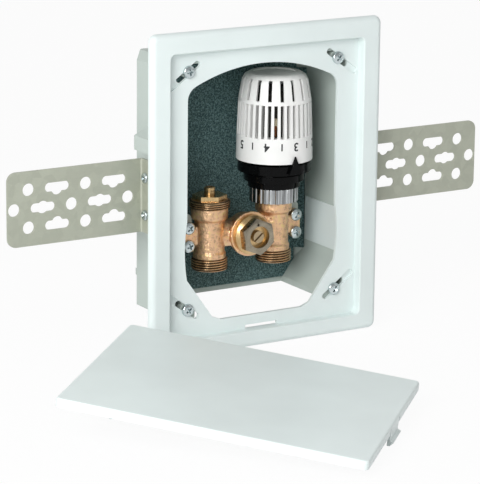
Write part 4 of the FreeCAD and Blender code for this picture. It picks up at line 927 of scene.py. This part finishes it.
class VALVEBOX_OT_head(bpy.types.Operator):
    """Dresses the regulator head"""

    bl_idname = "valvebox.head"
    bl_label = "Regulator Head"

    def execute(self, context):
        finishes = settings().finishes
        details = settings().details
        # The nut's chrome gets very dark upright streaks: painted reflections of the dark box round it.
        plate = metal("nut_chrome_painted_reflections", finishes.chrome, rough=0.10, patch=0.0016, streak=(1, 1, 0.03), dark=0.12)
        edge = details.metal_edge
        softened_node("knurled_nut", "knurled_nut_plated", edge, plate, "housing")
        black = glossy_black("base_black", finishes.head_black)
        softened_node("head_base", "head_base_moulding", edge, black, "housing")
        white = moulded("cap_moulding", finishes.cap_white, rough=0.34, patch=0.03)
        softened_node("head_cap", "head_cap_moulding", edge, white, "head_cap")
        softened_node("cap_disc", "cap_disc_moulding", edge, white, "head_cap")
        dark = moulded("sensor_dark", finishes.sensor_dark, rough=0.5, gloss=0.2)
        paint("sensor_carrier", dark)
        paint("sensor_cartridge", dark)
        cream = moulded("rod_cream", finishes.rod_cream, rough=0.42)
        paint("push_rod", cream)
        copper = metal("stem_copper", finishes.stem_copper, rough=0.34, dark=0.6)
        self.add_stem(details, cream, copper)
        paint("overtravel_spring", metal("spring_copper", finishes.stem_copper, rough=0.30))
        return {"FINISHED"}

    def add_stem(self, details, cream, copper):
        """A cream ferrule set into the sensor's side, with a copper coil under it."""
        axis = middle_of("sensor_cartridge")
        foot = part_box("sensor_cartridge")[0].z + details.stem_rise
        radius = details.stem_radius
        spot = Matrix.Translation((axis.x, axis.y, foot)) @ Matrix.Rotation(STEM_BEARING, 4, "Z")
        spot = spot @ Matrix.Translation((details.stem_orbit, 0, 0))
        coil, top = details.coil_height, details.coil_height + details.ferrule_height
        bevel = radius * STEM_BEVEL
        shape = bmesh.new()
        outline = ((0, coil), (radius, coil), (radius, top - bevel), (radius - bevel, top), (0, top))
        lathe(shape, outline, STEM_SIDES, spot)
        outward(shape)
        add_piece("stem_ferrule", to_mesh(shape, "stem_ferrule"), cream, "sensor_unit")
        steps = COIL_TURNS * COIL_STEPS
        profile = []
        for step in range(steps + 1):
            ripple = math.sin(math.tau * step / COIL_STEPS) - 1
            profile.append((radius * (1 + COIL_RIPPLE * ripple), coil * step / steps))
        shape = bmesh.new()
        lathe(shape, [(0, 0), *profile, (0, coil)], STEM_SIDES, spot)
        outward(shape)
        add_piece("stem_coil", to_mesh(shape, "stem_coil"), copper, "sensor_unit")


class VALVEBOX_OT_scale(bpy.types.Operator):
    """Prints the numbers and ticks on the cap"""

    bl_idname = "valvebox.scale"
    bl_label = "Scale"

    def execute(self, context):
        finishes = settings().finishes
        details = settings().details
        ink = moulded("scale_ink", finishes.scale_ink, rough=0.5)
        shape = bmesh.new()
        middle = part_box("head_cap")[0].z + details.scale_rise
        for number in range(LAST_NUMBER + 1):
            turn = details.scale_step * 2 * (REST_NUMBER - number) + details.scale_turn
            self.add_number(shape, str(number), turn, middle, details)
            if number < LAST_NUMBER:
                self.add_tick(shape, turn - details.scale_step, middle, details)
        outward(shape)
        add_piece("cap_scale", to_mesh(shape, "cap_scale"), ink, "head_cap")
        return {"FINISHED"}

    def wrap(self, corners, turn, middle, details):
        """Lays flat corners (across, up, out) round the cap's band, head down."""
        low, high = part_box("head_cap")
        axis = middle_of("head_cap")
        skirt = (high.x - low.x) / 2
        for corner in corners:
            across, up, out = -corner.co.x, -corner.co.y, corner.co.z
            height = middle + up
            band = skirt - details.band_taper * (height - low.z)
            radius = band + details.ink_rise * (1.0 if out > 0 else -1.0)
            bearing = -math.pi / 2 + turn + across / band
            corner.co = Vector((axis.x, axis.y, 0)) + around(radius, bearing, height)

    def add_number(self, shape, text, turn, middle, details):
        curve = bpy.data.curves.new(f"number_{text}", "FONT")
        curve.body = text
        curve.align_x = "CENTER"
        curve.align_y = "CENTER"
        curve.size = details.digit_height * FONT_SHARE
        curve.extrude = details.ink_rise
        curve.offset = details.digit_bold
        letter = linked(f"number_{text}", curve)
        bpy.context.view_layer.update()
        mesh = bpy.data.meshes.new_from_object(letter.evaluated_get(bpy.context.evaluated_depsgraph_get()))
        bpy.data.objects.remove(letter)
        bpy.data.curves.remove(curve)
        piece = bmesh.new()
        piece.from_mesh(mesh)
        bpy.data.meshes.remove(mesh)
        bmesh.ops.remove_doubles(piece, verts=piece.verts, dist=1e-6)
        for step in range(-INK_CUTS, INK_CUTS + 1):
            everything = piece.verts[:] + piece.edges[:] + piece.faces[:]
            bmesh.ops.bisect_plane(
                piece, geom=everything, plane_co=(step * INK_STEP, 0, 0), plane_no=(1, 0, 0))
        self.wrap(piece.verts, turn, middle, details)
        self.join(shape, piece)

    def add_tick(self, shape, turn, middle, details):
        piece = bmesh.new()
        bmesh.ops.create_cube(piece, size=1.0)
        for corner in piece.verts:
            corner.co.x *= details.tick_width
            corner.co.y *= details.tick_height
        self.wrap(piece.verts, turn, middle, details)
        self.join(shape, piece)

    def join(self, shape, piece):
        mesh = plain_mesh(piece, "mark")
        shape.from_mesh(mesh)
        bpy.data.meshes.remove(mesh)


class VALVEBOX_OT_studio(bpy.types.Operator):
    """Sets up the pale floor, the soft light and the camera"""

    bl_idname = "valvebox.studio"
    bl_label = "Studio"

    def execute(self, context):
        studio = settings().studio
        self.add_floor(studio.paper_white)
        self.add_light("key_light", KEY_PLACE, studio.key_size, studio.key)
        self.add_light("fill_light", FILL_PLACE, studio.fill_size, studio.fill)
        self.light_world(studio.sky)
        self.add_camera(studio)
        context.scene.view_settings.view_transform = "Standard"
        return {"FINISHED"}

    def math_node(self, tree, operation, first, second):
        """Two values joined by an operation; the second may be a plain number."""
        node = tree.nodes.new("ShaderNodeMath")
        node.operation = operation
        tree.links.new(first, node.inputs[0])
        if isinstance(second, float):
            node.inputs[1].default_value = second
        else:
            tree.links.new(second, node.inputs[1])
        return node.outputs["Value"]

    def white_to_sight(self, tree, lit, whiteness, mirrored):
        """Blends a lit shader with plain white for sight, and in part for mirrors and glass."""
        path = tree.nodes.new("ShaderNodeLightPath")
        glass = self.math_node(
            tree, "MAXIMUM", path.outputs["Is Glossy Ray"], path.outputs["Is Transmission Ray"])
        glass = self.math_node(tree, "MULTIPLY", glass, mirrored)
        seen = self.math_node(tree, "MAXIMUM", path.outputs["Is Camera Ray"], glass)
        amount = self.math_node(tree, "MULTIPLY", seen, whiteness)
        white = tree.nodes.new("ShaderNodeEmission")
        white.inputs["Color"].default_value = (1, 1, 1, 1)
        blend = tree.nodes.new("ShaderNodeMixShader")
        tree.links.new(amount, blend.inputs["Fac"])
        tree.links.new(lit, blend.inputs[1])
        tree.links.new(white.outputs["Emission"], blend.inputs[2])
        return blend.outputs["Shader"]

    def add_floor(self, whiteness):
        shape = bmesh.new()
        bmesh.ops.create_grid(shape, x_segments=FLOOR_CELLS, y_segments=FLOOR_CELLS, size=FLOOR_HALF)
        floor = linked("studio_floor", to_mesh(shape, "studio_floor"))
        floor.location.z = CAD_LOW.z - FLOOR_DROP
        material, tree, shader = new_finish("studio_paper")
        paper = clouds(tree, place_of(tree), 0.4)
        feed(tree, shader, "Base Color", paper, ((0.3, 0.90), (0.7, 0.93)))
        shader.inputs["Roughness"].default_value = 0.9
        output = next(node for node in tree.nodes if node.type == "OUTPUT_MATERIAL")
        seen = self.white_to_sight(tree, shader.outputs["BSDF"], whiteness, 1.0)
        tree.links.new(seen, output.inputs["Surface"])
        floor.data.materials.append(material)

    def add_light(self, name, place, size, power):
        lamp = bpy.data.lights.new(name, "AREA")
        lamp.shape = "DISK"
        lamp.size = size
        lamp.energy = power
        light = linked(name, lamp)
        light.location = place
        light.rotation_euler = (-Vector(place)).to_track_quat("-Z", "Y").to_euler()

    def light_world(self, strength):
        world = bpy.data.worlds.new("studio_world")
        bpy.context.scene.world = world
        world.use_nodes = True
        tree = world.node_tree
        tree.nodes.clear()
        output = tree.nodes.new("ShaderNodeOutputWorld")
        even = tree.nodes.new("ShaderNodeBackground")
        even.inputs["Color"].default_value = (1, 1, 1, 1)
        even.inputs["Strength"].default_value = strength
        bearing = tree.nodes.new("ShaderNodeTexCoord")
        split = tree.nodes.new("ShaderNodeSeparateXYZ")
        tree.links.new(bearing.outputs["Generated"], split.inputs["Vector"])
        behind = spread(tree, split.outputs["Y"], ((0.0, 0.0), (0.35, 1.0)))
        seen = self.white_to_sight(tree, even.outputs["Background"], 1.0, behind)
        tree.links.new(seen, output.inputs["Surface"])

    def add_camera(self, studio):
        ca, sa = math.cos(studio.azimuth), math.sin(studio.azimuth)
        ce, se = math.cos(studio.elevation), math.sin(studio.elevation)
        level = Vector((ca, -sa, 0))
        view = Vector((sa * ce, ca * ce, -se))
        above = level.cross(view)
        right = level * math.cos(studio.roll) + above * math.sin(studio.roll)
        up = above * math.cos(studio.roll) - level * math.sin(studio.roll)
        place = -(right * studio.shift_right + up * studio.shift_up + view * studio.distance)
        lens = bpy.data.cameras.new("photo_camera")
        lens.sensor_fit = "VERTICAL"
        lens.sensor_height = SENSOR_HEIGHT
        lens.lens = studio.lens
        lens.clip_end = SIGHT
        camera = linked("photo_camera", lens)
        camera.matrix_world = Matrix.Translation(place) @ Matrix((right, up, -view)).transposed().to_4x4()
        bpy.context.scene.camera = camera


OPERATORS = (
    VALVEBOX_OT_studio,
    VALVEBOX_OT_wall_box,
    VALVEBOX_OT_rails,
    VALVEBOX_OT_front_frame,
    VALVEBOX_OT_cover_plate,
    VALVEBOX_OT_casting,
    VALVEBOX_OT_shutoff,
    VALVEBOX_OT_vent,
    VALVEBOX_OT_insert,
    VALVEBOX_OT_head,
    VALVEBOX_OT_scale,
)


class VALVEBOX_PT_panel(bpy.types.Panel):
    """Lists the steps that dress the valve box"""

    bl_idname = "VALVEBOX_PT_panel"
    bl_label = "Valve Box"
    bl_space_type = "VIEW_3D"
    bl_region_type = "UI"
    bl_category = "Valve Box"

    def draw(self, context):
        layout = self.layout
        for operator in OPERATORS:
            layout.operator(operator.bl_idname)
        box = context.scene.valve_box
        for group in (box.finishes, box.details, box.studio):
            column = layout.column(align=True)
            for name in group.__annotations__:
                column.prop(group, name)


CLASSES = (
    ValveBoxFinishes,
    ValveBoxDetails,
    ValveBoxStudio,
    ValveBoxSettings,
    *OPERATORS,
    VALVEBOX_PT_panel,
)


def register():
    for kind in CLASSES:
        bpy.utils.register_class(kind)
    bpy.types.Scene.valve_box = PointerProperty(type=ValveBoxSettings)


def unregister():
    del bpy.types.Scene.valve_box
    for kind in reversed(CLASSES):
        bpy.utils.unregister_class(kind)


def main():
    register()
    bpy.ops.valvebox.studio()
    bpy.ops.valvebox.wall_box()
    bpy.ops.valvebox.rails()
    bpy.ops.valvebox.front_frame()
    bpy.ops.valvebox.cover_plate()
    bpy.ops.valvebox.casting()
    bpy.ops.valvebox.shutoff()
    bpy.ops.valvebox.vent()
    bpy.ops.valvebox.insert()
    bpy.ops.valvebox.head()
    bpy.ops.valvebox.scale()


if __name__ == "__main__":
    main()
